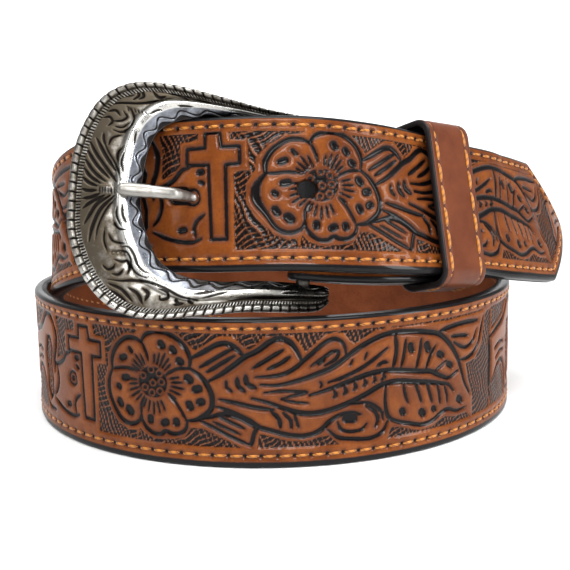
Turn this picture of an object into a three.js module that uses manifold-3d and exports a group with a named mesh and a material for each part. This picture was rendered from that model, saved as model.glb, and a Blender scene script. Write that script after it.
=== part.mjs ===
// A western belt of tooled leather, buckled and coiled two turns round on its edge.
// Millimetres, +Z up, the viewer looks along +Y. The strap is two layers of leather glued
// back to back. One end folds round the bar of a cast buckle. The other passes through the
// buckle, over the first end and under a keeper loop, and its pointed tip flares away.
import * as THREE from "three";
import { mergeVertices } from "three/addons/utils/BufferGeometryUtils.js";
import Module from "manifold-3d";

// Leather
const STRAP_WIDTH = 38.1;
const TOOLED_THICKNESS = 2.0;
const LINING_THICKNESS = 1.5;
const EDGE_BEVEL = 0.6;
const TIP_LENGTH = 27;
const TIP_NOSE = 2.4;
const FLAP_LENGTH = 30;
const LINING_START = 10;
const SECTION_SPACING = 7.5;

// Clearances between pieces
const GLUE_GAP = 0.3;
const SEAT_GAP = 0.3;
const STRAND_GAP = 0.5;

// Holes
const HOLE_DIAMETER = 4.8;
const HOLE_PITCH = 25.4;
const HOLE_COUNT = 5;
const FIRST_HOLE_FROM_TIP = 124;
const PRONG_HOLE = 1;
const PRONG_HOLE_STRETCH = 6;

// Buckle: lengths run from the bar towards the closed end of the frame
const FRAME_LENGTH = 65.6;
const BAR_FROM_ARM_ENDS = 6.9;
const BAR_DIAMETER = 3.6;
const END_WIDTH = 17.6;
const ARM_CLEARANCE = 0.7;
const SHOULDER_WIDTH = 9.4;
const OPENING_LIFT = 2.1;
const FRAME_THICKNESS = 3.8;
const ROPE_WIDTH = 2.1;
const ROPE_PITCH = 2.4;
const ROPE_RISE = 0.5;
const BAND_WIDTH = 5.6;
const BAND_RISE = 0.7;
const FIELD_SINK = 0.7;
const FRAME_BOW_RADIUS = 110;
const PRONG_WIDTH = 3.6;
const PRONG_THICKNESS = 2.2;
const PRONG_EYE_WALL = 1.3;
const PRONG_REST = 3.4;

// Keeper
const KEEPER_WIDTH = 16.4;
const KEEPER_THICKNESS = 1.7;
const KEEPER_CORNER = 3;
const KEEPER_ROOM = 0.8;
const KEEPER_STAND_OFF = 0.9;
const KEEPER_FROM_TIP = 80.6;
const KEEPER_TILT = 2;

// Coil
const COIL_RADIUS = 72.25;

// The bottom edge of the glue plane. turn: degrees round the coil from the front, towards +X.
// layer: how many straps it lies outside the main turn. flare: a free stretch's extra radius
// as a share of COIL_RADIUS. rise: height as a share of STRAP_WIDTH. lean: degrees that the
// top edge leans towards the middle.
const COIL = [
  { turn: 0, layer: -1.5, flare: 0, rise: 1.235, lean: 9.5 },
  { turn: 20, layer: -1.38, flare: 0, rise: 1.17, lean: 13.5 },
  { turn: 40, layer: -1.3, flare: 0, rise: 1.12, lean: 16.5 },
  { turn: 58, layer: -1.12, flare: 0, rise: 1.07, lean: 17.5 },
  { turn: 75, layer: -0.8, flare: 0, rise: 1.04, lean: 14 },
  { turn: 92, layer: -0.25, flare: 0, rise: 1.03, lean: 9 },
  { turn: 108, layer: 0.45, flare: 0, rise: 1.02, lean: 5 },
  { turn: 122, layer: 1.02, flare: 0, rise: 0.99, lean: 2 },
  { turn: 140, layer: 1.3, flare: 0, rise: 0.84, lean: 0 },
  { turn: 165, layer: 1.36, flare: 0, rise: 0.52, lean: 0 },
  { turn: 190, layer: 1.18, flare: 0, rise: 0.23, lean: 0 },
  { turn: 212, layer: 0.78, flare: 0, rise: 0.06, lean: 0 },
  { turn: 235, layer: 0.24, flare: 0, rise: 0, lean: 0 },
  { turn: 258, layer: 0, flare: 0, rise: 0, lean: 0 },
  { turn: 280, layer: 0, flare: 0, rise: 0, lean: 0 },
  { turn: 470, layer: 0, flare: 0, rise: 0, lean: 0 },
  { turn: 490, layer: 0, flare: 0, rise: 0, lean: 0 },
  { turn: 512, layer: -0.25, flare: 0, rise: 0.016, lean: 0 },
  { turn: 535, layer: -0.66, flare: 0, rise: 0.08, lean: 0 },
  { turn: 560, layer: -0.94, flare: 0, rise: 0.23, lean: 0 },
  { turn: 585, layer: -1.04, flare: 0, rise: 0.4, lean: 0 },
  { turn: 610, layer: -1.04, flare: 0, rise: 0.59, lean: 1 },
  { turn: 632, layer: -1.03, flare: 0, rise: 0.78, lean: 3 },
  { turn: 652, layer: -1.1, flare: 0, rise: 0.97, lean: 5 },
  { turn: 672, layer: -1.2, flare: 0, rise: 1.14, lean: 6 },
  { turn: 692, layer: -1.08, flare: 0, rise: 1.255, lean: 6.5 },
  { turn: 709, layer: -0.7, flare: 0, rise: 1.286, lean: 7.5 },
  { turn: 725, layer: -0.4, flare: 0, rise: 1.294, lean: 9.5 },
  { turn: 741, layer: -0.29, flare: 0, rise: 1.255, lean: 13 },
  { turn: 757, layer: -0.26, flare: 0, rise: 1.197, lean: 16.6 },
  { turn: 773, layer: 0, flare: 0, rise: 1.131, lean: 18.5 },
  { turn: 788, layer: 0, flare: 0.081, rise: 1.039, lean: 18.7 },
  { turn: 800, layer: 0, flare: 0.196, rise: 0.96, lean: 19 },
  { turn: 815, layer: 0, flare: 0.38, rise: 0.87, lean: 19 },
];
const BAR_TURN = 7.5;
const TIP_TURN = COIL[COIL.length - 1].turn;

// Half of the buckle's frame, from the middle of its closed end to an arm's end. outX and
// outY: the outer edge, shares of the frame's length and half height. inX: the inner edge
// between END_WIDTH and the arms' ends, inY: a share of the opening's half height. The
// opening sits OPENING_LIFT above the outline's middle, so the lower arm is the wider one.
const FRAME = [
  { outX: 0, outY: 0, inX: 0, inY: 0 },
  { outX: 0.012, outY: 0.34, inX: 0.003, inY: 0.37 },
  { outX: 0.062, outY: 0.66, inX: 0.02, inY: 0.66 },
  { outX: 0.125, outY: 0.845, inX: 0.062, inY: 0.87 },
  { outX: 0.205, outY: 0.962, inX: 0.13, inY: 0.99 },
  { outX: 0.32, outY: 1, inX: 0.23, inY: 1.065 },
  { outX: 0.51, outY: 0.945, inX: 0.42, inY: 1.05 },
  { outX: 0.68, outY: 0.89, inX: 0.62, inY: 1.01 },
  { outX: 0.87, outY: 0.86, inX: 0.84, inY: 1 },
  { outX: 0.965, outY: 0.83, inX: 0.97, inY: 1.01 },
  { outX: 1, outY: 0.765, inX: 1, inY: 1.03 },
];

const STRAP_THICKNESS = TOOLED_THICKNESS + GLUE_GAP + LINING_THICKNESS;
const LAYER = STRAP_THICKNESS + STRAND_GAP;
const OUTER_FACE = GLUE_GAP / 2 + TOOLED_THICKNESS;
const LINING_FACE = -GLUE_GAP / 2 - LINING_THICKNESS;
const TOOLED_MIDDLE = GLUE_GAP / 2 + TOOLED_THICKNESS / 2;
const LINING_MIDDLE = -GLUE_GAP / 2 - LINING_THICKNESS / 2;
const FLAP_MIDDLE = LINING_FACE - SEAT_GAP - TOOLED_THICKNESS / 2;
const BAR_MIDDLE = (TOOLED_MIDDLE + FLAP_MIDDLE) / 2;
const FOLD_RADIUS = BAR_DIAMETER / 2 + SEAT_GAP + TOOLED_THICKNESS / 2;
const OPENING_HALF = STRAP_WIDTH / 2 + ARM_CLEARANCE;
const FRAME_HALF = OPENING_HALF + SHOULDER_WIDTH;
const BAR_AT = FRAME_LENGTH - BAR_FROM_ARM_ENDS;

const UP = new THREE.Vector3(0, 0, 1);
const radians = THREE.MathUtils.degToRad;
const wasm = await Module();
wasm.setup();

// A smooth curve through a table's rows: every column of the table at one value of its key.
function readTable(table, key, value) {
  const columns = Object.keys(table[0]);
  const last = table.length - 1;
  let row = table.findIndex((entry) => entry[key] > value) - 1;
  if (row < 0) row = value < table[0][key] ? 0 : last - 1;
  const slope = (i, column) => {
    const before = table[Math.max(i - 1, 0)];
    const after = table[Math.min(i + 1, last)];
    const isLevel = [before, after].some((near) => near !== table[i] && near[column] === table[i][column]);
    return isLevel ? 0 : (after[column] - before[column]) / (after[key] - before[key]);
  };
  const width = table[row + 1][key] - table[row][key];
  const t = (value - table[row][key]) / width;
  const result = {};
  for (const column of columns) {
    const start = table[row][column];
    const end = table[row + 1][column];
    result[column] =
      (2 * t ** 3 - 3 * t ** 2 + 1) * start +
      (t ** 3 - 2 * t ** 2 + t) * width * slope(row, column) +
      (3 * t ** 2 - 2 * t ** 3) * end +
      (t ** 3 - t ** 2) * width * slope(row + 1, column);
  }
  return result;
}

// The glue plane's bottom edge at a turn of the coil.
function footAt(turn) {
  const { layer, flare, rise } = readTable(COIL, "turn", turn);
  const radius = COIL_RADIUS * (1 + flare) + layer * LAYER;
  const angle = radians(turn);
  return new THREE.Vector3(
    radius * Math.sin(angle),
    -radius * Math.cos(angle),
    rise * STRAP_WIDTH,
  );
}

// The strap's own directions at a turn: along it, up its width and out of its tooled face.
function strandAt(turn) {
  const foot = footAt(turn);
  const along = footAt(turn + 0.5).sub(footAt(turn - 0.5)).normalize();
  const level = new THREE.Vector3(along.y, -along.x, 0).normalize();
  const lean = radians(readTable(COIL, "turn", turn).lean);
  const up = UP.clone().multiplyScalar(Math.cos(lean)).addScaledVector(level, -Math.sin(lean));
  up.addScaledVector(along, -up.dot(along)).normalize();
  const out = new THREE.Vector3().crossVectors(along, up);
  return { foot, along, up, out };
}

// Strap length from the bar to each whole degree of the coil, to turn lengths into turns.
const course = [{ turn: COIL[0].turn, length: -footAt(COIL[0].turn).distanceTo(footAt(BAR_TURN)) }];
for (let turn = BAR_TURN; turn < TIP_TURN + 1; turn += 1) {
  const before = course[course.length - 1];
  const here = Math.min(turn, TIP_TURN);
  const step = footAt(here).distanceTo(footAt(before.turn));
  course.push({ turn: here, length: before.length + step });
}
const STRAP_LENGTH = course[course.length - 1].length;

function turnAt(length) {
  const found = course.findIndex((entry) => entry.length > length);
  const next = found < 0 ? course.length - 1 : Math.max(found, 1);
  const a = course[next - 1];
  const b = course[next];
  return a.turn + ((length - a.length) / (b.length - a.length)) * (b.turn - a.turn);
}

// A closed solid skinned over rings of points that all have the same count. Mirrored rings
// run clockwise, so that a layer glued to another shares its facets.
function loft(rings, isMirrored = false) {
  const count = rings[0].length;
  const positions = rings.flat().flatMap((p) => [p.x, p.y, p.z]);
  const index = [];
  for (let r = 0; r < rings.length - 1; r += 1) {
    for (let i = 0; i < count; i += 1) {
      const a = r * count + i;
      const b = r * count + ((i + 1) % count);
      if (isMirrored) index.push(a, b + count, b, a, a + count, b + count);
      else index.push(a, b, b + count, a, b + count, a + count);
    }
  }
  const capOf = (ring) => {
    const right = ring[1].clone().sub(ring[0]).normalize();
    const normal = new THREE.Vector3();
    ring.forEach((p, i) => normal.add(p.clone().cross(ring[(i + 1) % count])));
    const side = normal.normalize().clone().cross(right);
    const flat = ring.map((p) => new THREE.Vector2(p.dot(right), p.dot(side)));
    return THREE.ShapeUtils.triangulateShape(flat, []);
  };
  const end = (rings.length - 1) * count;
  for (const [a, b, c] of capOf(rings[0])) index.push(...(isMirrored ? [a, b, c] : [a, c, b]));
  for (const [a, b, c] of capOf(rings[rings.length - 1])) {
    index.push(...(isMirrored ? [end + a, end + c, end + b] : [end + a, end + b, end + c]));
  }
  const geometry = new THREE.BufferGeometry();
  geometry.setAttribute("position", new THREE.Float32BufferAttribute(positions, 3));
  geometry.setIndex(index);
  return geometry;
}

function toSolid(geometry) {
  const bare = geometry.clone();
  bare.deleteAttribute("normal");
  bare.deleteAttribute("uv");
  const merged = mergeVertices(bare, 1e-4);
  return new wasm.Manifold(
    new wasm.Mesh({
      numProp: 3,
      vertProperties: merged.getAttribute("position").array,
      triVerts: new Uint32Array(merged.index.array),
    }),
  );
}

function toGeometry(solid) {
  const mesh = solid.getMesh();
  const geometry = new THREE.BufferGeometry();
  geometry.setAttribute("position", new THREE.BufferAttribute(mesh.vertProperties, 3));
  geometry.setIndex(new THREE.BufferAttribute(mesh.triVerts, 1));
  return geometry;
}

function place(geometry, origin, x, y, z) {
  const matrix = new THREE.Matrix4().makeBasis(x, y, z).setPosition(origin);
  return geometry.applyMatrix4(matrix);
}

// How far the pointed tip draws each edge in, at a distance from the tip.
function tipInset(fromTip) {
  const share = THREE.MathUtils.clamp(fromTip / TIP_LENGTH, 0, 1);
  return ((STRAP_WIDTH - TIP_NOSE) / 2) * (1 - share ** 0.92);
}

// A leather section, bevelled along both edges of its finished face.
function leatherRing({ centre, up, face, low, high, thickness }) {
  const half = thickness / 2;
  const bevel = Math.min(EDGE_BEVEL, (high - low) / 3, half);
  const outline = [
    [high, -half],
    [high, half - bevel],
    [high - bevel, half],
    [low + bevel, half],
    [low, half - bevel],
    [low, -half],
  ];
  return outline.map(([height, depth]) =>
    centre.clone().addScaledVector(up, height).addScaledVector(face, depth),
  );
}

function lengthsBetween(start, end, spacing) {
  const steps = Math.ceil((end - start) / spacing);
  return Array.from({ length: steps + 1 }, (_, i) => start + ((end - start) * i) / steps);
}

// Layer rings along the open run of the strap, closing to the point of the tip.
function runRings(start, middle, thickness, faceSign) {
  const straight = lengthsBetween(start, STRAP_LENGTH - TIP_LENGTH, SECTION_SPACING);
  const pointed = lengthsBetween(STRAP_LENGTH - TIP_LENGTH, STRAP_LENGTH, TIP_LENGTH / 5);
  return [...straight, ...pointed.slice(1)].map((length) => {
    const { foot, up, out } = strandAt(turnAt(length));
    const inset = tipInset(STRAP_LENGTH - length);
    const centre = foot.clone().addScaledVector(out, middle);
    const face = out.clone().multiplyScalar(faceSign);
    return leatherRing({
      centre,
      up,
      face,
      low: inset,
      high: STRAP_WIDTH - inset,
      thickness,
    });
  });
}

// The tooled layer's fold: its hidden flap, the bend round the bar and the way back to the run.
function foldRings() {
  const bend = 8;
  const path = [];
  for (const x of lengthsBetween(FOLD_RADIUS * 2.2, FLAP_LENGTH, SECTION_SPACING).reverse()) {
    path.push([x, FLAP_MIDDLE]);
  }
  for (let i = 0; i <= bend; i += 1) {
    const angle = -Math.PI / 2 - (Math.PI * i) / bend;
    path.push([Math.cos(angle) * FOLD_RADIUS, BAR_MIDDLE + Math.sin(angle) * FOLD_RADIUS]);
  }
  path.push([FOLD_RADIUS * 2.2, TOOLED_MIDDLE]);
  path.push([LINING_START, TOOLED_MIDDLE]);
  const pointAt = ([x, depth]) => {
    const isBend = x <= FOLD_RADIUS;
    const { foot, along, up, out } = strandAt(isBend ? BAR_TURN : turnAt(x));
    const centre = foot.clone().addScaledVector(out, depth);
    if (isBend) centre.addScaledVector(along, x);
    return { centre, up };
  };
  const points = path.map(pointAt);
  return points.slice(0, -1).map(({ centre, up }, i) => {
    const before = points[Math.max(i - 1, 0)].centre;
    const along = points[i + 1].centre.clone().sub(before).normalize();
    const across = up.clone().addScaledVector(along, -up.dot(along)).normalize();
    const face = along.clone().cross(across);
    return leatherRing({
      centre,
      up,
      face,
      low: 0,
      high: STRAP_WIDTH,
      thickness: TOOLED_THICKNESS,
    });
  });
}

// Round holes along the middle of the strap, with the one that the prong strains pulled long.
function holeCutters() {
  return Array.from({ length: HOLE_COUNT }, (_, i) => {
    const length = STRAP_LENGTH - FIRST_HOLE_FROM_TIP - i * HOLE_PITCH;
    const { foot, along, up, out } = strandAt(turnAt(length));
    const stretch = i === PRONG_HOLE ? PRONG_HOLE_STRETCH : 0;
    const shape = slotShape(stretch, HOLE_DIAMETER / 2);
    const depth = STRAP_THICKNESS * 3;
    const cutter = new THREE.ExtrudeGeometry(shape, { depth, bevelEnabled: false });
    cutter.translate(0, 0, -depth / 2);
    const origin = foot.clone().addScaledVector(up, STRAP_WIDTH / 2);
    return toSolid(place(cutter, origin, along, up, out));
  });
}

function slotShape(length, radius) {
  const shape = new THREE.Shape();
  shape.absarc(length / 2, 0, radius, -Math.PI / 2, Math.PI / 2, false);
  shape.absarc(-length / 2, 0, radius, Math.PI / 2, Math.PI * 1.5, false);
  return new THREE.Shape(shape.getPoints(6).slice(0, -1));
}

// The opening in the fold that the prong's eye turns in.
function foldSlotCutter() {
  const reach = FOLD_RADIUS + TOOLED_THICKNESS;
  const half = PRONG_WIDTH / 2 + PRONG_EYE_WALL;
  const depth = FOLD_RADIUS * 4;
  const cutter = new THREE.ExtrudeGeometry(slotShape(reach * 2, half), {
    depth,
    bevelEnabled: false,
  });
  cutter.translate(0, 0, -depth / 2);
  return toSolid(place(cutter, barAxis.middle, barAxis.along, barAxis.up, barAxis.out));
}

// The bar's own directions: it lies across the strap, inside the fold.
function barDirections() {
  const { foot, along, up, out } = strandAt(BAR_TURN);
  const middle = foot
    .clone()
    .addScaledVector(out, BAR_MIDDLE)
    .addScaledVector(up, STRAP_WIDTH / 2);
  return { middle, along, up, out };
}
const barAxis = barDirections();

// The frame is bowed, so that its arms clear the strap: depth of its mid surface at x.
function bowAt(x) {
  const apex = -BAR_AT / 2;
  const fall = (distance) => FRAME_BOW_RADIUS - Math.sqrt(FRAME_BOW_RADIUS ** 2 - distance ** 2);
  return fall(apex) - fall(x - apex);
}

// The frame swings on its bar until its closed end rests on the strap that passes under it.
function frameSwing() {
  const corner = FRAME.find((row) => row.inY > 0.9).inX * (FRAME_LENGTH - END_WIDTH);
  const reach = BAR_AT - END_WIDTH - corner;
  let swing = -Math.PI;
  for (const length of lengthsBetween(0, FRAME_LENGTH, 1)) {
    const turn = turnAt(STRAP_LENGTH - FIRST_HOLE_FROM_TIP - length);
    const { foot, up, out } = strandAt(turn);
    for (const share of [0, 0.5, 1]) {
      const face = foot
        .clone()
        .addScaledVector(up, share * STRAP_WIDTH)
        .addScaledVector(out, OUTER_FACE + SEAT_GAP)
        .sub(barAxis.middle);
      const x = face.dot(barAxis.along);
      const z = face.dot(barAxis.out);
      const away = Math.hypot(x, z);
      if (x > -reach || away > BAR_AT) continue;
      const under = bowAt(-away) - FRAME_THICKNESS / 2;
      swing = Math.max(swing, Math.atan2(z, -x) - Math.atan2(under, away));
    }
  }
  return swing;
}

function frameDirections() {
  const turned = new THREE.Quaternion().setFromAxisAngle(barAxis.up, frameSwing());
  return {
    middle: barAxis.middle,
    along: barAxis.along.clone().applyQuaternion(turned),
    up: barAxis.up,
    out: barAxis.out.clone().applyQuaternion(turned),
  };
}
const frameAxis = frameDirections();

// Outer and inner edge points of the frame at a share of the way round from arm to arm.
function framePath() {
  const halfPath = (side) =>
    FRAME.map(({ outX, outY, inX, inY }) => ({
      outer: new THREE.Vector3(
        outX * FRAME_LENGTH - BAR_AT,
        side * outY * FRAME_HALF - OPENING_LIFT,
        0,
      ),
      inner: new THREE.Vector3(
        END_WIDTH + inX * (FRAME_LENGTH - END_WIDTH) - BAR_AT,
        side * inY * OPENING_HALF,
        0,
      ),
    }));
  const rows = [...halfPath(-1).slice(1).reverse(), ...halfPath(1)];
  const outer = new THREE.CatmullRomCurve3(rows.map((row) => row.outer), false, "centripetal");
  const inner = new THREE.CatmullRomCurve3(rows.map((row) => row.inner), false, "centripetal");
  return { outer, inner };
}

// One section across the frame: rope edge, groove, sunk engraved field and raised inner band.
function frameRing(outer, inner, isNotch) {
  const across = inner.clone().sub(outer);
  const width = across.length();
  across.normalize();
  const rope = Math.min(ROPE_WIDTH, width * 0.3);
  const band = Math.min(BAND_WIDTH, width * 0.45);
  const top = FRAME_THICKNESS / 2;
  const ropeTop = isNotch ? top - ROPE_RISE : top;
  const field = top - FIELD_SINK;
  const profile = [
    [0, -top],
    [0, ropeTop - ROPE_RISE],
    [rope * 0.3, ropeTop],
    [rope * 0.7, ropeTop],
    [rope, field],
    [width - band, field],
    [width - band * 0.75, top],
    [width - band * 0.45, top + BAND_RISE],
    [width - band * 0.15, top],
    [width, 0],
    [width - band * 0.1, -top],
  ];
  return profile.map(([distance, height]) => {
    const point = outer.clone().addScaledVector(across, distance);
    point.z = bowAt(point.x) + height;
    return point;
  });
}

function buckleFrame() {
  const { outer, inner } = framePath();
  const beads = Math.round(outer.getLength() / ROPE_PITCH);
  const rings = [];
  for (let i = 0; i <= beads * 2; i += 1) {
    const t = outer.getUtoTmapping(i / (beads * 2));
    rings.push(frameRing(outer.getPoint(t), inner.getPoint(t), i % 2 === 0));
  }
  const armInner = inner.getPoint(outer.getUtoTmapping(BAR_FROM_ARM_ENDS / outer.getLength()));
  const bar = new THREE.CylinderGeometry(
    BAR_DIAMETER / 2,
    BAR_DIAMETER / 2,
    Math.abs(armInner.y) * 2 + SHOULDER_WIDTH / 3,
    16,
  );
  return toGeometry(toSolid(loft(rings)).add(toSolid(bar)));
}

// The prong: an eye round the bar and a rod out through the hole to rest on the frame.
function buckleProng() {
  const eyeRadius = BAR_DIAMETER / 2 + SEAT_GAP;
  const ring = new THREE.Shape().absarc(0, 0, eyeRadius + PRONG_EYE_WALL, 0, Math.PI * 2);
  ring.holes.push(new THREE.Path().absarc(0, 0, eyeRadius, 0, Math.PI * 2, true));
  const eye = new THREE.ExtrudeGeometry(ring, {
    depth: PRONG_WIDTH,
    bevelEnabled: false,
    curveSegments: 10,
  });
  eye.rotateX(Math.PI / 2);
  eye.translate(0, PRONG_WIDTH / 2, 0);
  const rings = prongPath().map(({ x, z, slope, size }) => {
    const section = [];
    for (let i = 0; i < 10; i += 1) {
      const angle = (Math.PI * 2 * i) / 10;
      const side = (Math.cos(angle) * PRONG_WIDTH * size) / 2;
      const rise = (Math.sin(angle) * PRONG_THICKNESS * size) / 2;
      section.push(
        new THREE.Vector3(x - Math.sin(slope) * rise, side, z + Math.cos(slope) * rise),
      );
    }
    return section;
  });
  return toGeometry(toSolid(eye).add(toSolid(loft(rings))));
}

// Where the prong runs, in the frame's own directions: under the strap, up through its hole,
// and along to its rest on the frame's inner band.
function prongPath() {
  const hole = strandAt(turnAt(STRAP_LENGTH - FIRST_HOLE_FROM_TIP - PRONG_HOLE * HOLE_PITCH));
  const centre = hole.foot.clone().addScaledVector(hole.up, STRAP_WIDTH / 2);
  const restX = -(BAR_AT - END_WIDTH) - BAND_WIDTH * 0.45;
  const above = SEAT_GAP + PRONG_THICKNESS / 2;
  const restZ = bowAt(restX) + FRAME_THICKNESS / 2 + BAND_RISE + above;
  const tipX = restX - PRONG_REST;
  const half = PRONG_HOLE_STRETCH / 2;
  const bySlot = (distance, depth, size) => {
    const point = centre
      .clone()
      .addScaledVector(hole.along, distance)
      .addScaledVector(hole.out, depth)
      .sub(frameAxis.middle);
    return { x: point.dot(frameAxis.along), z: point.dot(frameAxis.out), size };
  };
  const knots = [
    { x: -BAR_DIAMETER / 2 - SEAT_GAP - PRONG_EYE_WALL / 2, z: 0, size: 0.95 },
    bySlot(half + HOLE_DIAMETER, LINING_FACE - above * 2.3, 0.9),
    bySlot(half + PRONG_THICKNESS * 0.7, LINING_FACE - above * 1.05, 0.85),
    bySlot(0, (LINING_FACE + OUTER_FACE) / 2, 0.85),
    bySlot(-half - PRONG_THICKNESS / 2, OUTER_FACE + above / 2, 0.85),
    bySlot(-half - HOLE_DIAMETER, OUTER_FACE + above * 1.1, 0.95),
    { x: restX + BAND_WIDTH, z: restZ, size: 1 },
    { x: restX, z: restZ, size: 1.05 },
    { x: tipX + PRONG_WIDTH / 2, z: restZ, size: 1.05 },
    { x: tipX + PRONG_WIDTH * 0.12, z: restZ, size: 0.75 },
    { x: tipX, z: restZ, size: 0.3 },
  ];
  return knots.map((knot, i) => {
    const a = knots[Math.max(i - 1, 0)];
    const b = knots[Math.min(i + 1, knots.length - 1)];
    return { ...knot, slope: Math.atan2(b.z - a.z, b.x - a.x) };
  });
}

// The keeper: a flat leather loop round both strands, sized to hold them with a little room.
function keeperLoop() {
  const length = STRAP_LENGTH - KEEPER_FROM_TIP;
  const upper = strandAt(turnAt(length));
  const lower = strandAt(turnAt(length) - 720);
  const foot = upper.foot;
  const along = upper.along.clone().add(lower.along).normalize();
  const up = upper.up.clone().add(lower.up).applyAxisAngle(along, radians(KEEPER_TILT));
  up.addScaledVector(along, -up.dot(along)).normalize();
  const out = along.clone().cross(up);
  const corners = [];
  for (const shift of [-0.75, -0.4, 0, 0.4, 0.75]) {
    const turn = turnAt(length + shift * KEEPER_WIDTH);
    for (const strand of [strandAt(turn), strandAt(turn - 720)]) {
      for (const height of [0, STRAP_WIDTH]) {
        for (const depth of [LINING_FACE, OUTER_FACE]) {
          const corner = strand.foot.clone().addScaledVector(strand.up, height);
          corners.push(corner.addScaledVector(strand.out, depth).sub(foot));
        }
      }
    }
  }
  const heights = corners.map((corner) => corner.dot(up));
  const depths = corners.map((corner) => corner.dot(out));
  const low = Math.min(...heights);
  const high = Math.max(...heights);
  const inner = Math.min(...depths);
  const outer = Math.max(...depths);
  const hole = roundedBox(
    low - KEEPER_ROOM,
    high + KEEPER_ROOM,
    inner - SEAT_GAP * 2,
    outer + KEEPER_STAND_OFF,
    KEEPER_CORNER,
  );
  const wall = KEEPER_THICKNESS;
  const body = roundedBox(
    low - KEEPER_ROOM - wall,
    high + KEEPER_ROOM + wall,
    inner - SEAT_GAP * 2 - wall,
    outer + KEEPER_STAND_OFF + wall,
    KEEPER_CORNER + wall,
  );
  const shape = new THREE.Shape(body);
  shape.holes.push(new THREE.Path(hole.reverse()));
  const loop = new THREE.ExtrudeGeometry(shape, { depth: KEEPER_WIDTH, bevelEnabled: false });
  loop.translate(0, 0, -KEEPER_WIDTH / 2);
  return toGeometry(toSolid(place(loop, foot, up, out, along)));
}

// The corner points of a rectangle with rounded corners, width along x and depth along y.
function roundedBox(x0, x1, y0, y1, corner) {
  const radius = Math.min(corner, (y1 - y0) / 2.1);
  const centres = [
    [x1 - radius, y1 - radius, 0],
    [x0 + radius, y1 - radius, 1],
    [x0 + radius, y0 + radius, 2],
    [x1 - radius, y0 + radius, 3],
  ];
  const points = [];
  for (const [x, y, quarter] of centres) {
    for (let i = 0; i <= 4; i += 1) {
      const angle = (Math.PI / 2) * (quarter + i / 4);
      points.push(
        new THREE.Vector2(x + Math.cos(angle) * radius, y + Math.sin(angle) * radius),
      );
    }
  }
  return points;
}

function tooledStrap() {
  const rings = [...foldRings(), ...runRings(LINING_START, TOOLED_MIDDLE, TOOLED_THICKNESS, 1)];
  const cutters = [...holeCutters(), foldSlotCutter()];
  return toGeometry(cutters.reduce((solid, cutter) => solid.subtract(cutter), toSolid(loft(rings))));
}

function liningStrap() {
  const rings = runRings(LINING_START, LINING_MIDDLE, LINING_THICKNESS, -1);
  const whole = toSolid(loft(rings, true));
  return toGeometry(holeCutters().reduce((solid, cutter) => solid.subtract(cutter), whole));
}

function makeMesh(name, geometry, color, roughness, metalness) {
  const material = new THREE.MeshStandardMaterial({ color, roughness, metalness });
  const flat = geometry.index ? geometry.toNonIndexed() : geometry;
  flat.computeVertexNormals();
  const mesh = new THREE.Mesh(flat, material);
  mesh.name = name;
  return mesh;
}

const belt = new THREE.Group();
belt.add(makeMesh("tooled_strap", tooledStrap(), 0x8a451f, 0.45, 0));
belt.add(makeMesh("lining_strap", liningStrap(), 0x9a5228, 0.6, 0));
belt.add(makeMesh("keeper_loop", keeperLoop(), 0x8f4a26, 0.5, 0));

const buckle = new THREE.Group();
buckle.add(makeMesh("buckle_frame", buckleFrame(), 0xb8b4aa, 0.3, 1));
buckle.add(makeMesh("buckle_prong", buckleProng(), 0xc8c6c0, 0.25, 1));
buckle.applyMatrix4(
  new THREE.Matrix4()
    .makeBasis(frameAxis.along, frameAxis.up, frameAxis.out)
    .setPosition(frameAxis.middle),
);
belt.add(buckle);

// The origin is the middle of the belt's footprint, on the surface that it stands on.
const box = new THREE.Box3().setFromObject(belt, true);
const centre = box.getCenter(new THREE.Vector3());
belt.position.set(-centre.x, -centre.y, -box.min.z);

export default belt;
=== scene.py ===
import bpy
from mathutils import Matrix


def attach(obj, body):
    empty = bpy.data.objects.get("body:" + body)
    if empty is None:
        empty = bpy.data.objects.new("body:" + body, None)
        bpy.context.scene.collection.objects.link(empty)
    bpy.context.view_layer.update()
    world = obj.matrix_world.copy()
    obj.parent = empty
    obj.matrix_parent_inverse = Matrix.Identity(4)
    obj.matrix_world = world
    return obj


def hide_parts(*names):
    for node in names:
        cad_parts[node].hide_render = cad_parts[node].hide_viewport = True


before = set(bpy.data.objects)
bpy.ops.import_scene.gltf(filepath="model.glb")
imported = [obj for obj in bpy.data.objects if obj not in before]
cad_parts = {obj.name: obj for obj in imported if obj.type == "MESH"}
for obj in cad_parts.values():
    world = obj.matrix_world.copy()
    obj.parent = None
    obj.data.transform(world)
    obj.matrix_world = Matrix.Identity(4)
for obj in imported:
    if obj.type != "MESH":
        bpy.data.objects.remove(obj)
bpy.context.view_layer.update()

import math

import bpy
import numpy as np
from mathutils import Matrix, Vector

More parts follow.
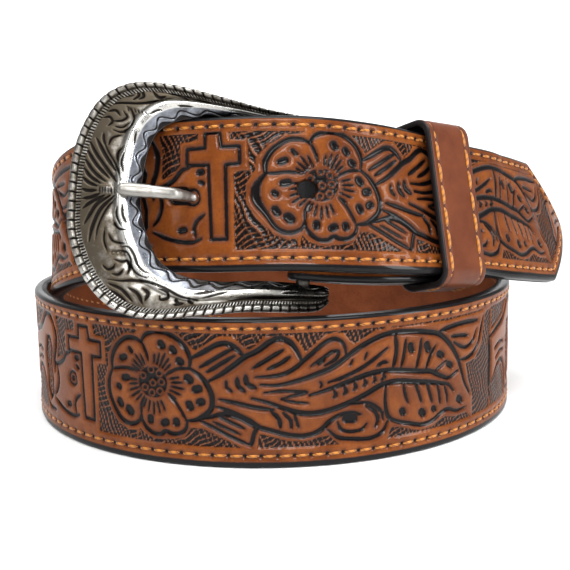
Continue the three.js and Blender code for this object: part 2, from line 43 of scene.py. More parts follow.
# The strap's course
# The belt is one long strap of leather, coiled two turns round on its lower edge. These rows
# follow the middle of its thickness from the buckle's bar to the pointed tip: degrees round
# the coil, layers outside the main turn, flare, rise and lean, as in the solid model.
STRAP_WIDTH = 38.1
TIP_LENGTH = 27.0
TIP_NOSE = 2.4
BAR_TURN = 7.5
TIP_TURN = 815.0
COIL_RADIUS = 72.25
LAYER = 4.3
COURSE = np.array([
    (0, -1.5, 0, 1.235, 9.5), (20, -1.38, 0, 1.17, 13.5), (40, -1.3, 0, 1.12, 16.5),
    (58, -1.12, 0, 1.07, 17.5), (75, -0.8, 0, 1.04, 14), (92, -0.25, 0, 1.03, 9),
    (108, 0.45, 0, 1.02, 5), (122, 1.02, 0, 0.99, 2), (140, 1.3, 0, 0.84, 0),
    (165, 1.36, 0, 0.52, 0), (190, 1.18, 0, 0.23, 0), (212, 0.78, 0, 0.06, 0),
    (235, 0.24, 0, 0, 0), (258, 0, 0, 0, 0), (280, 0, 0, 0, 0), (470, 0, 0, 0, 0),
    (490, 0, 0, 0, 0), (512, -0.25, 0, 0.016, 0), (535, -0.66, 0, 0.08, 0),
    (560, -0.94, 0, 0.23, 0), (585, -1.04, 0, 0.4, 0), (610, -1.04, 0, 0.59, 1),
    (632, -1.03, 0, 0.78, 3), (652, -1.1, 0, 0.97, 5), (672, -1.2, 0, 1.14, 6),
    (692, -1.08, 0, 1.255, 6.5), (709, -0.7, 0, 1.286, 7.5), (725, -0.4, 0, 1.294, 9.5),
    (741, -0.29, 0, 1.255, 13), (757, -0.26, 0, 1.197, 16.6), (773, 0, 0, 1.131, 18.5),
    (788, 0, 0.081, 1.039, 18.7), (800, 0, 0.196, 0.96, 19), (815, 0, 0.38, 0.87, 19),
], dtype=float)
# The solid model's origin is the middle of its box, so the coil's centre lies a little off it.
COIL_CENTRE = np.array([-11.001, -2.648, 0.0])


def course_slopes():
    turns = COURSE[:, 0]
    slopes = np.zeros_like(COURSE[:, 1:])
    last = len(turns) - 1
    for i in range(last + 1):
        before, after = max(i - 1, 0), min(i + 1, last)
        for k in range(4):
            column = COURSE[:, k + 1]
            level = any(j != i and column[j] == column[i] for j in (before, after))
            if not level:
                slopes[i, k] = (column[after] - column[before]) / (turns[after] - turns[before])
    return slopes


COURSE_SLOPES = course_slopes()


def travelled(points):
    """The length walked from the first point to each point."""
    return np.concatenate([[0], np.cumsum(np.linalg.norm(np.diff(points, axis=0), axis=1))])


def read_course(turn):
    turns = COURSE[:, 0]
    row = np.clip(np.searchsorted(turns, turn, side="right") - 1, 0, len(turns) - 2)
    width = (turns[row + 1] - turns[row])[:, None]
    t = (turn - turns[row])[:, None] / width
    start, end = COURSE[row, 1:], COURSE[row + 1, 1:]
    return (
        (2 * t**3 - 3 * t**2 + 1) * start
        + (t**3 - 2 * t**2 + t) * width * COURSE_SLOPES[row]
        + (3 * t**2 - 2 * t**3) * end
        + (t**3 - t**2) * width * COURSE_SLOPES[row + 1]
    )


def strap_foot(turn):
    layer, flare, rise, _ = read_course(turn).T
    radius = COIL_RADIUS * (1 + flare) + layer * LAYER
    angle = np.radians(turn)
    return np.stack([radius * np.sin(angle), -radius * np.cos(angle), rise * STRAP_WIDTH], 1)


def unit(vectors):
    return vectors / np.linalg.norm(vectors, axis=-1, keepdims=True)


def strap_at(turn):
    """Foot, along, up and out of the strap at some turns, in millimetres from the coil's centre."""
    turn = np.atleast_1d(np.asarray(turn, dtype=float))
    foot = strap_foot(turn)
    along = unit(strap_foot(turn + 0.5) - strap_foot(turn - 0.5))
    level = unit(np.stack([along[:, 1], -along[:, 0], 0 * along[:, 0]], 1))
    lean = np.radians(read_course(turn)[:, 3])[:, None]
    up = np.cos(lean) * np.array([0, 0, 1.0]) - np.sin(lean) * level
    up = unit(up - (up * along).sum(1, keepdims=True) * along)
    return foot, along, up, np.cross(along, up)


COURSE_TURNS = np.arange(BAR_TURN, TIP_TURN + 0.01, 0.25)
COURSE_LENGTHS = travelled(strap_foot(COURSE_TURNS))
STRAP_LENGTH = COURSE_LENGTHS[-1]


def turn_at(length):
    return np.interp(length, COURSE_LENGTHS, COURSE_TURNS)


def tip_inset(length):
    share = np.clip((STRAP_LENGTH - length) / TIP_LENGTH, 0, 1)
    return (STRAP_WIDTH - TIP_NOSE) / 2 * (1 - share**0.92)


# The carving
# The pattern is cut into damp leather with a swivel knife, bevelled down along the cuts, and its
# ground is sunk. Each repeat runs from a cross to a flower, leaf fingers, a scroll and a ribbed
# leaf. A stroke is a half width and its points, in millimetres along and up the strap.
REPEAT = 162.53
FLOWER_AT = 423.22
UPPER = FLOWER_AT + REPEAT * 3
# where the pattern was rolled longer or shorter: start, end and by how much
STRETCHES = [(UPPER - 160, UPPER - 130, -1.9), (UPPER - 17, UPPER - 11, 1.9), (UPPER + 34, UPPER + 57, 4.7)]
CELL = 0.14
PATTERN_START = -61.0
STROKES = [
    # the cross and its outline
    (0.36, [(-23.3, 8), (-19.4, 8), (-19.3, 25.6), (-15.8, 25.8), (-15.8, 29.8), (-20.3, 29.9)], 0),
    (0.36, [(-20.3, 29.9), (-20.7, 33.3), (-24.6, 33.3), (-24.7, 29.8), (-29.7, 29.6)], 0),
    (0.36, [(-29.7, 29.6), (-29.7, 25.8), (-23.8, 25.7), (-23.3, 8)], 0),
    # rounded shapes beside it
    (0.5, [(-39.5, 20.2), (-36.5, 20.8), (-33.5, 22.2), (-31.2, 24.6), (-29.2, 25.2)]),
    (0.45, [(-39.3, 10), (-36, 8.6), (-32, 7.6), (-28.5, 7.4), (-26, 8.2)]),
    (0.4, [(-25, 14), (-27, 12.6), (-27.9, 10.6), (-27.4, 8.6)]),
    (0.3, [(-26.3, 18.2), (-27, 19.6), (-28.6, 19.9), (-29.9, 18.6), (-29.6, 16.9), (-28, 16.3),
        (-26.6, 17), (-26.3, 18.2)]),
    (0.75, [(-28.2, 18.1), (-28, 18.1)]), (0.75, [(-26.4, 24), (-25.6, 24.1)]),
    (0.5, [(-26.2, 21.8), (-25.4, 21.4)]), (0.7, [(-31.6, 10.2), (-30.4, 10.4)]),
    (0.45, [(-37.2, 19.8), (-36.6, 16.5), (-37.6, 13.4), (-39.2, 11.6)]),
    (0.6, [(-38.6, 32), (-37.4, 28.6), (-37.9, 24.6), (-39.2, 21), (-38.8, 18)]),
    (0.6, [(-61.6, 25.6), (-56, 27.4), (-51, 28.8), (-47.6, 31), (-44.6, 33.6), (-41.4, 34), (-38.6, 32)]),
    (0.5, [(-61, 8), (-61.2, 14), (-61, 20), (-61.6, 25.6)]),
    (0.5, [(-60.5, 12), (-55, 16.6), (-51, 17), (-48, 14), (-46.4, 9), (-44, 6.6), (-40, 6.6)]),
    (0.45, [(-44.4, 26.8), (-42, 27.2), (-40.7, 24.4), (-41.8, 20), (-41, 15.6), (-41.2, 11.4),
        (-43.2, 9.4), (-45.4, 12.4), (-45, 17), (-46, 22), (-44.4, 26.8)], 0),
    (0.35, [(-58, 21.5), (-53.5, 22.6), (-49.5, 22.2)]), (0.35, [(-57, 18.6), (-53, 20), (-49.8, 19.8)]),
    # the flower's edge and the folds between its petals
    (0.55, [(-11.7, 23.4), (-11.6, 26.4), (-10, 29.6), (-7, 31.9), (-4.2, 32.2), (-2, 31.4)]),
    (0.55, [(-2.2, 31.2), (-1, 33.2), (1.6, 34.3), (4.6, 34.2), (7.6, 33), (10, 30.8), (11.2, 28),
        (11, 25.4)]),
    (0.62, [(11, 25.5), (13.6, 23.7), (15.6, 21), (16.6, 18), (16.2, 15.2), (14.4, 13.4), (12.4, 12.2),
        (9.8, 11.8)]),
    (0.5, [(10, 11.8), (9.6, 9.8), (8, 8.4), (5.8, 8.1), (4, 8.6), (2.6, 7.7), (0.6, 7.7), (-1.4, 8.9),
        (-2.6, 10.7), (-2.9, 12.4)]),
    (0.55, [(-2.9, 12.2), (-3.9, 10.2), (-6.6, 9.3), (-9.2, 10.3), (-11.4, 13.2), (-13, 16.8), (-13, 20.4),
        (-11.7, 23.4)]),
    (0.32, [(-2, 31.4), (-0.8, 29), (-0.2, 26.8)]),
    (0.36, [(11, 25.4), (8.2, 25.2), (5.8, 24.2), (4.6, 23.2)]),
    (0.34, [(9.8, 11.8), (8.6, 14), (7, 16.4), (5.2, 18.2)]),
    (0.34, [(-2.9, 12.2), (-2.8, 15), (-1.7, 17.2)]),
    (0.36, [(-11.7, 23.4), (-8, 24.1), (-5, 24), (-3.8, 23.6)]), (0.8, [(-8.4, 26.6), (-7.4, 27)]),
    (0.5, [(-5.8, 29.4), (-5.1, 28.6)]), (0.9, [(3.5, 31.4), (3.9, 30.8)]),
    (0.85, [(6.6, 30.2), (7, 29.6)]), (0.95, [(8.3, 27.2), (8.8, 26.9)]), (1.0, [(10.4, 23), (11, 22.4)]),
    (1.0, [(12.4, 20.1), (13.2, 20.3)]), (0.95, [(13.4, 16.8), (13.9, 17)]),
    (0.9, [(10.6, 16.2), (11, 15.4)]), (0.85, [(-0.2, 11.7), (-0.2, 10.9)]),
    (0.95, [(3.6, 10.7), (4.2, 11)]), (0.9, [(7, 11.5), (7.1, 11)]), (0.9, [(-7.8, 21.4), (-6.8, 21.6)]),
    (0.8, [(-9.8, 19), (-9.6, 18.8)]), (0.9, [(-9.7, 15), (-9.2, 14.2)]),
    (1.1, [(-6.8, 13.2), (-6.2, 12.6)]),
    # three leaf fingers above the stem
    (0.62, [(11.6, 28.1), (14.5, 29.6), (18, 31.6), (20.6, 32), (23, 30.7), (24.8, 28.6)]),
    (0.66, [(16, 22.5), (19, 24.2), (22.5, 26.8), (25, 28.7), (28, 30.2), (31, 32.4), (33.4, 33.2),
        (35.8, 32.2), (37.4, 30), (38.6, 27.4)]),
    (0.5, [(13.6, 25.8), (17, 27.8), (20.6, 30), (22, 30.6)]),
    (0.5, [(15.4, 24.6), (18.6, 26.6), (22.4, 29)]), (0.5, [(26.8, 25.8), (30, 27.8), (34.2, 30.4)]),
    (0.48, [(30.4, 25.6), (33.4, 26.9), (35.7, 28.6)]),
    (0.5, [(27.4, 23.6), (31, 23.7), (34.6, 24.4), (37.4, 26), (39.2, 27.6), (41.6, 29.6), (44.4, 31.8),
        (46.8, 32.5), (48.9, 31.2), (49.6, 28.4)]),
    (0.42, [(40.8, 26), (43.4, 27.6), (46, 29.3), (47.6, 29.2), (46.9, 27.4), (44.2, 26)]),
    (0.4, [(42.6, 26.3), (44.2, 27.5)]),
    (0.62, [(28.6, 21.6), (33, 21.5), (38, 22.6), (42, 23.8), (46, 25.3), (49.6, 27.6), (53, 29.8),
        (57, 31.6), (61.5, 32.7), (67, 32.5), (72.4, 31.7), (77, 30.4), (81, 27.2), (84, 23.2),
        (85.6, 19.8), (87.2, 15.8), (89.6, 12.2)]),
    # comma marks and the stems that sweep under the fingers
    (0.36, [(20.2, 22.6), (20.3, 21), (21.6, 19.8)]), (0.55, [(22.9, 23.4), (23.1, 21.4), (24.7, 19.9)]),
    (0.6, [(25, 24), (25.3, 22), (27.4, 20.8)]),
    (0.36, [(29.4, 19.6), (33, 19.9), (36.2, 19.8), (39.6, 19.4), (36.6, 18.7), (33.4, 18)]),
    (0.32, [(33.4, 17.8), (36.6, 17), (40, 16.6)]),
    (0.45, [(45, 21.6), (49.4, 22.8), (53.6, 24.6), (57.4, 26.8), (60.6, 29)]),
    (0.62, [(40.4, 18.6), (45, 19.8), (50, 21.3), (55, 22.7), (60, 23.2), (65, 22.6), (70, 21.7), (74, 21),
        (77.2, 19.4), (80.6, 18.2), (84, 19.4)]),
    (0.66, [(26.4, 18.2), (30.4, 17), (34.4, 15.4), (38, 14.2), (42, 13.9), (46, 14.6), (50.6, 16),
        (55, 17.8), (59, 19.6), (63.4, 20), (68, 19.2), (73, 18.3), (77.6, 17.2), (80.4, 16.4),
        (82.4, 14.4)]),
    (0.5, [(18.4, 17.8), (22.6, 16.9), (27.4, 15.8), (31.6, 15.2)]),
    (0.5, [(17.6, 15.9), (21, 14.8), (24.4, 13.2), (28, 11.2)]),
    (0.4, [(17.6, 13.6), (21, 12), (24.4, 10.4)]), (0.34, [(16.6, 12), (20, 10.4), (23.4, 8.9)]),
    (0.4, [(46.2, 17.6), (47, 18.3), (46.4, 19.2)]), (0.4, [(48.8, 18.2), (49.6, 19), (49, 20)]),
    (0.4, [(51.4, 19), (52.1, 19.8), (51.6, 20.8)]), (0.38, [(54, 19.8), (54.8, 20.6), (54.2, 21.4)]),
    (0.34, [(56.6, 20.4), (57.3, 21.1), (56.8, 22)]), (0.34, [(59, 21), (59.8, 21.5), (59.6, 22.2)]),
    (0.25, [(43, 20.4), (43.4, 21.2), (42.8, 22)]), (0.25, [(54.4, 26.6), (55, 28.4)]),
    (0.25, [(50.6, 25.6), (51.2, 26.8)]), (0.45, [(57.8, 24.6), (59.4, 25.4), (60.6, 25.2)]),
    # the lower leaf and the scroll
    (0.45, [(13, 12.2), (17, 10.3), (21, 8.2), (24.6, 6.6), (26, 6)]),
    (0.5, [(26, 6), (26.6, 8.6), (27.4, 10.8)]),
    (0.6, [(11.4, 12), (15.4, 13), (19.6, 14), (23.6, 13), (27.2, 11), (31, 9.8), (35, 8.6), (39, 8.2),
        (42.6, 9.2), (45.4, 11.6), (48, 13), (51, 13.4), (53.2, 12.6)]),
    (1.15, [(49, 12), (51.8, 11.6)]), (0.5, [(31, 14.8), (32.8, 12.8), (33.2, 10.6)]),
    (0.4, [(33.8, 14.4), (35.6, 12.4), (35.8, 10.2)]), (0.34, [(36.6, 13.8), (37.6, 10.4)]),
    (0.45, [(54.6, 14.8), (57, 13), (57.9, 10.8), (57.2, 8.8)]),
    (0.4, [(47.2, 11.2), (48.2, 9.2), (50.6, 8.4), (53.4, 8.6), (54.8, 10)]),
    (0.5, [(44.8, 9.4), (47.4, 7.2), (51.4, 6.4), (55.6, 6), (59, 7.2), (60.6, 9.8)]),
    (0.36, [(51, 15.4), (54, 15.6), (56.4, 14.9), (58.8, 12.8), (59.4, 10.4)]),
    # the ribbed leaf with its dots, and the small leaf above its point
    (0.5, [(62.9, 32.2), (63.2, 28), (62.2, 23.6)]),
    (0.5, [(60.2, 19.4), (60, 15), (60.8, 11.2), (63.4, 9.4), (67.4, 8.2), (71, 7.2), (74.6, 7.6),
        (78, 9.2), (80.6, 9.6), (84, 8.4), (87.4, 8.6)]),
    (0.36, [(65.2, 18.8), (65.9, 16), (66.7, 13.8)]), (0.36, [(68.8, 18.8), (70, 16), (71, 13.2)]),
    (0.4, [(72.6, 18.2), (73.6, 15.6), (74.6, 12.6)]), (0.36, [(76.2, 17.4), (77, 14.8), (77.4, 11.8)]),
    (0.34, [(79, 16.2), (79.9, 13.8), (80.1, 11.4)]), (0.85, [(64.9, 12), (65.2, 11.4)]),
    (0.95, [(71, 10.7), (71.4, 10.1)]), (0.75, [(75, 10.9), (75.3, 10.6)]),
    (0.9, [(84.6, 11.7), (85.6, 11)]), (0.4, [(66, 30.6), (65.5, 27), (64.6, 23.6)]),
    (0.42, [(70.8, 30.2), (70.3, 26.4), (69.2, 22.6)]), (0.4, [(75.7, 27.8), (73.8, 25.2), (72.4, 22)]),
    (0.34, [(79.6, 23), (77.4, 21.8), (75.6, 21)]), (0.85, [(67.3, 29.2), (67.8, 27.2)]),
    (0.95, [(72.6, 28.3), (73.1, 27.1)]), (0.85, [(76.8, 25.3), (77.9, 24.7)]),
    (0.8, [(80.4, 22), (81.4, 21.4)]), (0.55, [(75.8, 30.8), (80, 31.7), (86, 32.1), (93.4, 31.8)]),
    (0.45, [(81.4, 29.2), (84.8, 28.9), (88.4, 28.4)]),
    (0.42, [(82.4, 27.6), (85.4, 25.9), (88.2, 25.3), (91, 26.6), (92.6, 29.4)]),
    (0.5, [(85.4, 22.2), (88.6, 22.2), (91.4, 23.2), (93.8, 25.4), (95, 28.6), (96.4, 32.4)]),
]
# Fine veins run out over the petals from a sunk centre of small rings.
RINGS = [(-1.9, 22.7), (0.5, 24.4), (2.8, 23.6), (3.3, 21.4), (0.9, 21), (-1.5, 19.6), (0.5, 18.4), (2.8, 19)]
for degrees, start, end in [
    (3, 5, 8.2), (14, 4.8, 7.4), (-8, 5, 8.6), (-20, 4.8, 8), (-32, 4.9, 7.4), (-66, 5, 7.8), (-78, 5, 8.2),
    (-90, 5.2, 8.4), (-102, 5, 8), (-114, 4.9, 7.4), (-134, 4.8, 7.4), (-146, 4.6, 8.2), (-158, 4.6, 7.8),
    (-170, 4.6, 7.2), (178, 4.6, 7), (146, 4.6, 7.2), (136, 4.4, 7.8), (126, 4.6, 8.4), (116, 4.8, 7.8),
    (84, 5, 7.4), (74, 4.8, 8), (64, 4.6, 8.6), (54, 4.8, 8), (44, 4.8, 7.2),
]:
    c, s = math.cos(math.radians(degrees)), math.sin(math.radians(degrees))
    STROKES.append((0.26, [(0.9 + start * c, 21.2 + start * s), (0.9 + end * c, 21.2 + end * s)]))
# Patches of ground, sunk and crosshatched with a checkered stamp.
GROUNDS = [
    [(-18, 31.4), (-14.2, 31.2), (-14, 24.2), (-17.4, 24), (-17.6, 5.3), (-4.4, 5.3), (-4.4, 8), (-7, 7.8),
        (-10, 9), (-12.4, 11.8), (-14.4, 16.4), (-14.4, 20.6), (-13, 24), (-12.9, 27), (-11, 30.4),
        (-7.4, 33.2), (-4, 33.4), (-3, 34.4), (-18.6, 34.4)],
    [(-18.6, 33.8), (-6, 33.6), (-2.6, 34.8), (-18.6, 35)],
    [(6, 34.8), (9, 33.7), (34, 33.8), (60, 33.9), (60, 35)],
    [(7.8, 34.4), (11.4, 31), (12.4, 29.8), (14.4, 31), (17.4, 33), (20, 34.4)],
    [(21.6, 34.4), (23.8, 32), (25.6, 30.2), (28, 31.8), (30.2, 34.4)],
    [(36, 34.4), (38, 31.8), (39.4, 29.4), (41.4, 31), (43.6, 33), (45.4, 34.4)],
    [(48.6, 34.4), (50.6, 31.6), (52, 30.9), (55, 32.5), (58.4, 34.4)],
    [(60, 34.5), (62, 34), (70, 33.9), (80, 33.7), (90, 33.9), (96, 34), (96, 34.6)],
    [(-4.4, 5.3), (-3.6, 9), (-2, 7.4), (0.6, 6.4), (3, 6.4), (6, 6.8), (9, 7.4), (11, 10.2), (14, 10.2),
        (18, 8.3), (22, 6.4), (24, 5.3)],
    [(27.4, 5.3), (27.8, 9.2), (31, 8.4), (35, 7.2), (39, 6.9), (43, 7.8), (45, 8), (47, 6.2), (48, 5.3)],
    [(60.4, 5.3), (61.6, 8.2), (64.4, 7.9), (68, 6.6), (71, 5.9), (75, 6.2), (79, 8.1), (83, 7.1),
        (88, 7.2), (90.6, 5.3)],
    [(87.6, 20.8), (92, 21.4), (95.4, 24.6), (97.8, 33.6), (101, 34), (101, 5.3), (90.8, 5.3), (90.6, 12),
        (88.6, 16)],
    [(-37, 34), (-36.2, 29), (-36.6, 22.4), (-33.8, 23.4), (-31.4, 25.8), (-31.4, 31), (-26.6, 31.6),
        (-26.4, 34.4), (-37, 34.4)],
    [(-61, 5.3), (-61, 11), (-55, 15.6), (-51.4, 15.8), (-49, 13.2), (-47.4, 8.6), (-46, 5.3)],
    [(-61.5, 27.4), (-55, 29.2), (-51, 30.6), (-46.4, 34.4), (-61.5, 34.4)],
    [(-44.2, 25.8), (-42.4, 26), (-41.8, 24), (-42.8, 20), (-42, 15.6), (-42.2, 11.8), (-43.2, 11),
        (-44.4, 13), (-44, 17), (-45, 22)],
]


def smooth_line(points, step=0.22):
    """A Catmull-Rom curve through points, sampled evenly enough for the knife's width."""
    p = np.array(points, dtype=float)
    if len(p) < 3:
        count = max(int(np.hypot(*(p[1] - p[0])) / step), 1)
        return p[0] + (p[1] - p[0]) * np.linspace(0, 1, count + 1)[:, None]
    q = np.vstack([2 * p[0] - p[1], p, 2 * p[-1] - p[-2]])
    out = []
    for a, b, c, d in zip(q[:-3], q[1:-2], q[2:-1], q[3:]):
        count = max(int(np.hypot(*(c - b)) / step), 1)
        t = (np.arange(count) / count)[:, None]
        bend = (2 * a - 5 * b + 4 * c - d) * t**2 + (3 * b - a - 3 * c + d) * t**3
        out.append(0.5 * (2 * b + (c - a) * t + bend))
    return np.vstack(out + [p[-1:]])


TILE_WIDE = int(round(REPEAT / CELL))
TILE_HIGH = int(STRAP_WIDTH / CELL) + 2
REACH = 2.6


def stamp(field, points, widths, left=PATTERN_START, low=0.0):
    """Lowers field to the distance from a row of round dabs, each of its own half width."""
    r = int(REACH / CELL) + 2
    for (x, y), w in zip(points, widths):
        i, j = (x - left) / CELL, (y - low) / CELL
        i0, j0 = int(i), int(j)
        cols = np.arange(i0 - r, i0 + r + 1)
        rows = np.arange(max(j0 - r, 0), min(j0 + r + 1, field.shape[0]))
        if len(rows) == 0:
            continue
        d = np.hypot((cols - i)[None, :], (rows - j)[:, None]) * CELL - w
        here = np.ix_(rows, cols % field.shape[1])
        field[here] = np.minimum(field[here], d)


def tapered(half_width, count, least, rise):
    """Half widths along a stroke that starts and ends thin."""
    share = np.linspace(0, 1, count)
    return half_width * (least + (1 - least) * np.minimum(1, np.minimum(share, 1 - share) * rise))


carved_tile = np.full((TILE_HIGH, TILE_WIDE), REACH)
for stroke in STROKES:
    half_width, points = stroke[:2]
    curve = smooth_line(points) if len(points) > 2 and len(stroke) == 2 else np.vstack(
        [smooth_line([a, b]) for a, b in zip(points[:-1], points[1:])]
    )
    widths = np.full(len(curve), half_width)
    if len(stroke) == 2 and len(curve) > 8:
        widths = tapered(half_width, len(curve), 0.45, 5)
    stamp(carved_tile, curve, widths)

ground_tile = np.full((TILE_HIGH, TILE_WIDE), REACH)
cell_y, cell_x = np.mgrid[0:TILE_HIGH, 0:TILE_WIDE] * CELL
cell_x = cell_x + PATTERN_START
ring_wall = np.full_like(ground_tile, -9.0)
for x, y in RINGS:
    ring_wall = np.maximum(ring_wall, 0.3 - np.abs(np.hypot(cell_x - x, cell_y - y) - 0.8))
centre = np.hypot(cell_x - 0.8, cell_y - 21.2) - 4.0
carved_tile = np.minimum(carved_tile, np.maximum(centre, ring_wall))
for patch in GROUNDS:
    edge = np.vstack([smooth_line([a, b]) for a, b in zip(patch, patch[1:] + patch[:1])])
    distance = np.full_like(ground_tile, REACH)
    stamp(distance, edge, np.zeros(len(edge)))
    inside = np.zeros(ground_tile.shape, bool)
    for (ax, ay), (bx, by) in zip(patch, patch[1:] + patch[:1]):
        if ay == by:
            continue
        crosses = (ay > cell_y) != (by > cell_y)
        inside ^= crosses & (cell_x < (bx - ax) * (cell_y - ay) / (by - ay) + ax)
    ground_tile = np.minimum(ground_tile, np.where(inside, -distance, distance))


def read_tile(tile, x, y, left=PATTERN_START, low=0.0):
    """The tile's distances at places between its cells. It repeats along the strap."""
    i = (x - left) / CELL
    j = np.clip((y - low) / CELL, 0, tile.shape[0] - 1.001)
    i0, j0 = np.floor(i).astype(int), np.floor(j).astype(int)
    fi, fj = i - i0, j - j0
    a, b = i0 % tile.shape[1], (i0 + 1) % tile.shape[1]
    return (
        tile[j0, a] * (1 - fi) * (1 - fj) + tile[j0, b] * fi * (1 - fj)
        + tile[j0 + 1, a] * (1 - fi) * fj + tile[j0 + 1, b] * fi * fj
    )


def ease(edge0, edge1, x):
    """Rises smoothly from 0 at the first edge to 1 at the second."""
    t = np.clip((x - edge0) / (edge1 - edge0), 0, 1)
    return t * t * (3 - 2 * t)


# The tooled strap
# The outer strap is carved vegetable-tanned leather, stained dark in the cuts and painted
# black along its edges. It folds round the buckle's bar at one end, and the other is cut to a
# point. Every cut, bevel and punched hole is pressed into its face.
TOOLED_MIDDLE = 1.15
FACE_DEPTH = 1.0
GLUE_DEPTH = -1.18
LINING_FACE = -1.65
SEAT_GAP = 0.3
BAR_DEPTH = (TOOLED_MIDDLE + LINING_FACE - SEAT_GAP - FACE_DEPTH) / 2
FOLD_RADIUS = 3.1
HOLE_RADIUS = 2.4
NEEDLE_RADIUS = 0.42
# distance from the tip, stretch along the strap, and height above the strap's middle
PUNCHED = [(125.3, 0, 1.1), (156.6, 1.0, 0), (174.8, 0, 0), (200.2, 0, 0), (225.6, 0, 0)]
STITCH_PITCH = 4.05
STITCH_ROWS = (3.3, STRAP_WIDTH - 2.3)
TAN = (0.112, 0.0285, 0.0058), (0.195, 0.0545, 0.0102)
ANTIQUE_PASTE = (0.07, 0.018, 0.007)
CUT_BLACK = (0.003, 0.002, 0.002)
EDGE_PAINT = (0.006, 0.0055, 0.006)


def new_material(name, **settings):
    """A node material whose plain settings sit on the shader's own sockets."""
    material = bpy.data.materials.new(name)
    material.use_nodes = True
    shader = material.node_tree.nodes["Principled BSDF"]
    for key, value in settings.items():
        shader.inputs[key.replace("_", " ")].default_value = value
    return material, material.node_tree, shader


def node(tree, kind, inputs=(), **settings):
    """Adds a shader node. An input is a (node, output) pair, a number or a colour."""
    made = tree.nodes.new(kind)
    for key, value in settings.items():
        setattr(made, key, value)
    for key, value in dict(inputs).items():
        if isinstance(value, tuple) and isinstance(value[0], bpy.types.Node):
            tree.links.new(value[0].outputs[value[1]], made.inputs[key])
        else:
            made.inputs[key].default_value = (*value, 1) if isinstance(value, tuple) else value
    return made


def maths(tree, operation, a, b=0.0):
    return node(tree, "ShaderNodeMath", {0: a, 1: b}, operation=operation), 0


def fade(tree, value, low, high, start=0.0, end=1.0):
    """Maps a range of one value smoothly to another."""
    ranges = {"Value": value, "From Min": low, "From Max": high, "To Min": start, "To Max": end}
    return node(tree, "ShaderNodeMapRange", ranges, interpolation_type="SMOOTHSTEP"), 0


def blend_colour(tree, factor, a, b, mode="MIX"):
    inputs = {0: factor, 6: a, 7: b}
    return node(tree, "ShaderNodeMix", inputs, data_type="RGBA", blend_type=mode), 2


def noise(tree, scale, detail=4.0, roughness=0.55, vector=None):
    inputs = {"Scale": scale, "Detail": detail, "Roughness": roughness}
    if vector is not None:
        inputs["Vector"] = vector
    return node(tree, "ShaderNodeTexNoise", inputs), 0


def attributes(tree, *names):
    """The mesh's own numbers, for a shader to read."""
    return {name: (node(tree, "ShaderNodeAttribute", attribute_name=name), 2) for name in names}


def stain_and_shade(tree, base, value, low, high, colour, most=1):
    """Lays a colour over the base where a value is low, and fades it out as the value rises."""
    return blend_colour(tree, fade(tree, value, low, high, most, 0), base, colour)


def finish(tree, shader, colour, roughness, strength, depth, height):
    """Joins a surface's colour, roughness and finest bumps to its shader."""
    tree.links.new(colour[0].outputs[colour[1]], shader.inputs["Base Color"])
    if roughness:
        tree.links.new(roughness[0].outputs[roughness[1]], shader.inputs["Roughness"])
    bump = node(tree, "ShaderNodeBump", {"Strength": strength, "Distance": depth, "Height": height})
    tree.links.new(bump.outputs[0], shader.inputs["Normal"])


def millimetres(name, points, faces, numbers=()):
    """A mesh object from points in the coil's own millimetres, with float attributes."""
    mesh = bpy.data.meshes.new(name)
    flat = (np.asarray(points, dtype=float).reshape(-1, 3) + COIL_CENTRE) / 1000
    mesh.from_pydata(flat.tolist(), [], [tuple(int(v) for v in f) for f in faces])
    mesh.polygons.foreach_set("use_smooth", [True] * len(mesh.polygons))
    for key, values in dict(numbers).items():
        layer = mesh.attributes.new(key, "FLOAT", "POINT")
        layer.data.foreach_set("value", np.asarray(values, dtype=np.float32).reshape(-1))
    mesh.update()
    made = bpy.data.objects.new(name, mesh)
    bpy.context.scene.collection.objects.link(made)
    return made


def tube_faces(rings, around, closed_ends=True):
    """Quads between rings of the same number of points, facing out, with capped ends."""
    r, k = np.mgrid[0:rings - 1, 0:around]
    a, b = r * around + k, r * around + (k + 1) % around
    quads = np.stack([a, b, b + around, a + around], -1).reshape(-1, 4).tolist()
    if closed_ends:
        quads.append(list(range(around))[::-1])
        quads.append([(rings - 1) * around + i for i in range(around)])
    return quads


def pattern_place(length):
    """Where along the repeat a length of the strap falls."""
    return length - FLOWER_AT - sum(amount * ease(start, end, length) for start, end, amount in STRETCHES)


def hole_distance(length, height):
    """Distance to the edge of the nearest punched hole, less than 0 inside it."""
    nearest = np.full(np.shape(length), 9.0)
    for from_tip, stretch, rise in PUNCHED:
        x = np.maximum(np.abs(STRAP_LENGTH - from_tip - length) - stretch, 0)
        nearest = np.minimum(nearest, np.hypot(x, height - STRAP_WIDTH / 2 - rise) - HOLE_RADIUS)
    return nearest


def needle_distance(length, inset, height):
    """Distance to the nearest needle hole of the two stitch rows."""
    low, high = STITCH_ROWS
    across = np.minimum(np.abs(height - inset - low), np.abs(high - inset - height))
    along = np.abs((length / STITCH_PITCH) % 1 - 0.5) * STITCH_PITCH
    return np.hypot(along, across) - NEEDLE_RADIUS


def ground_ridges(place, height):
    """Ridges of the checkered stamp in the ground: uneven, in two directions."""
    drift = 0.5 * np.sin(place * 0.9 + height * 0.33) + 0.4 * np.sin(place * 0.37 - height * 0.8)
    strong = 0.55 + 0.45 * np.sin(place * 0.61 + height * 0.45 + 2.0 * np.sin(place * 0.23))
    one = np.abs(np.sin((place * 0.93 + height * 0.36) * 2.75 + drift)) ** 7
    other = np.abs(np.sin((place * 0.5 - height * 0.87) * 2.3 + 1.2 * drift)) ** 9
    return np.maximum(one * (0.35 + 0.65 * strong), other * (0.9 - 0.6 * strong))


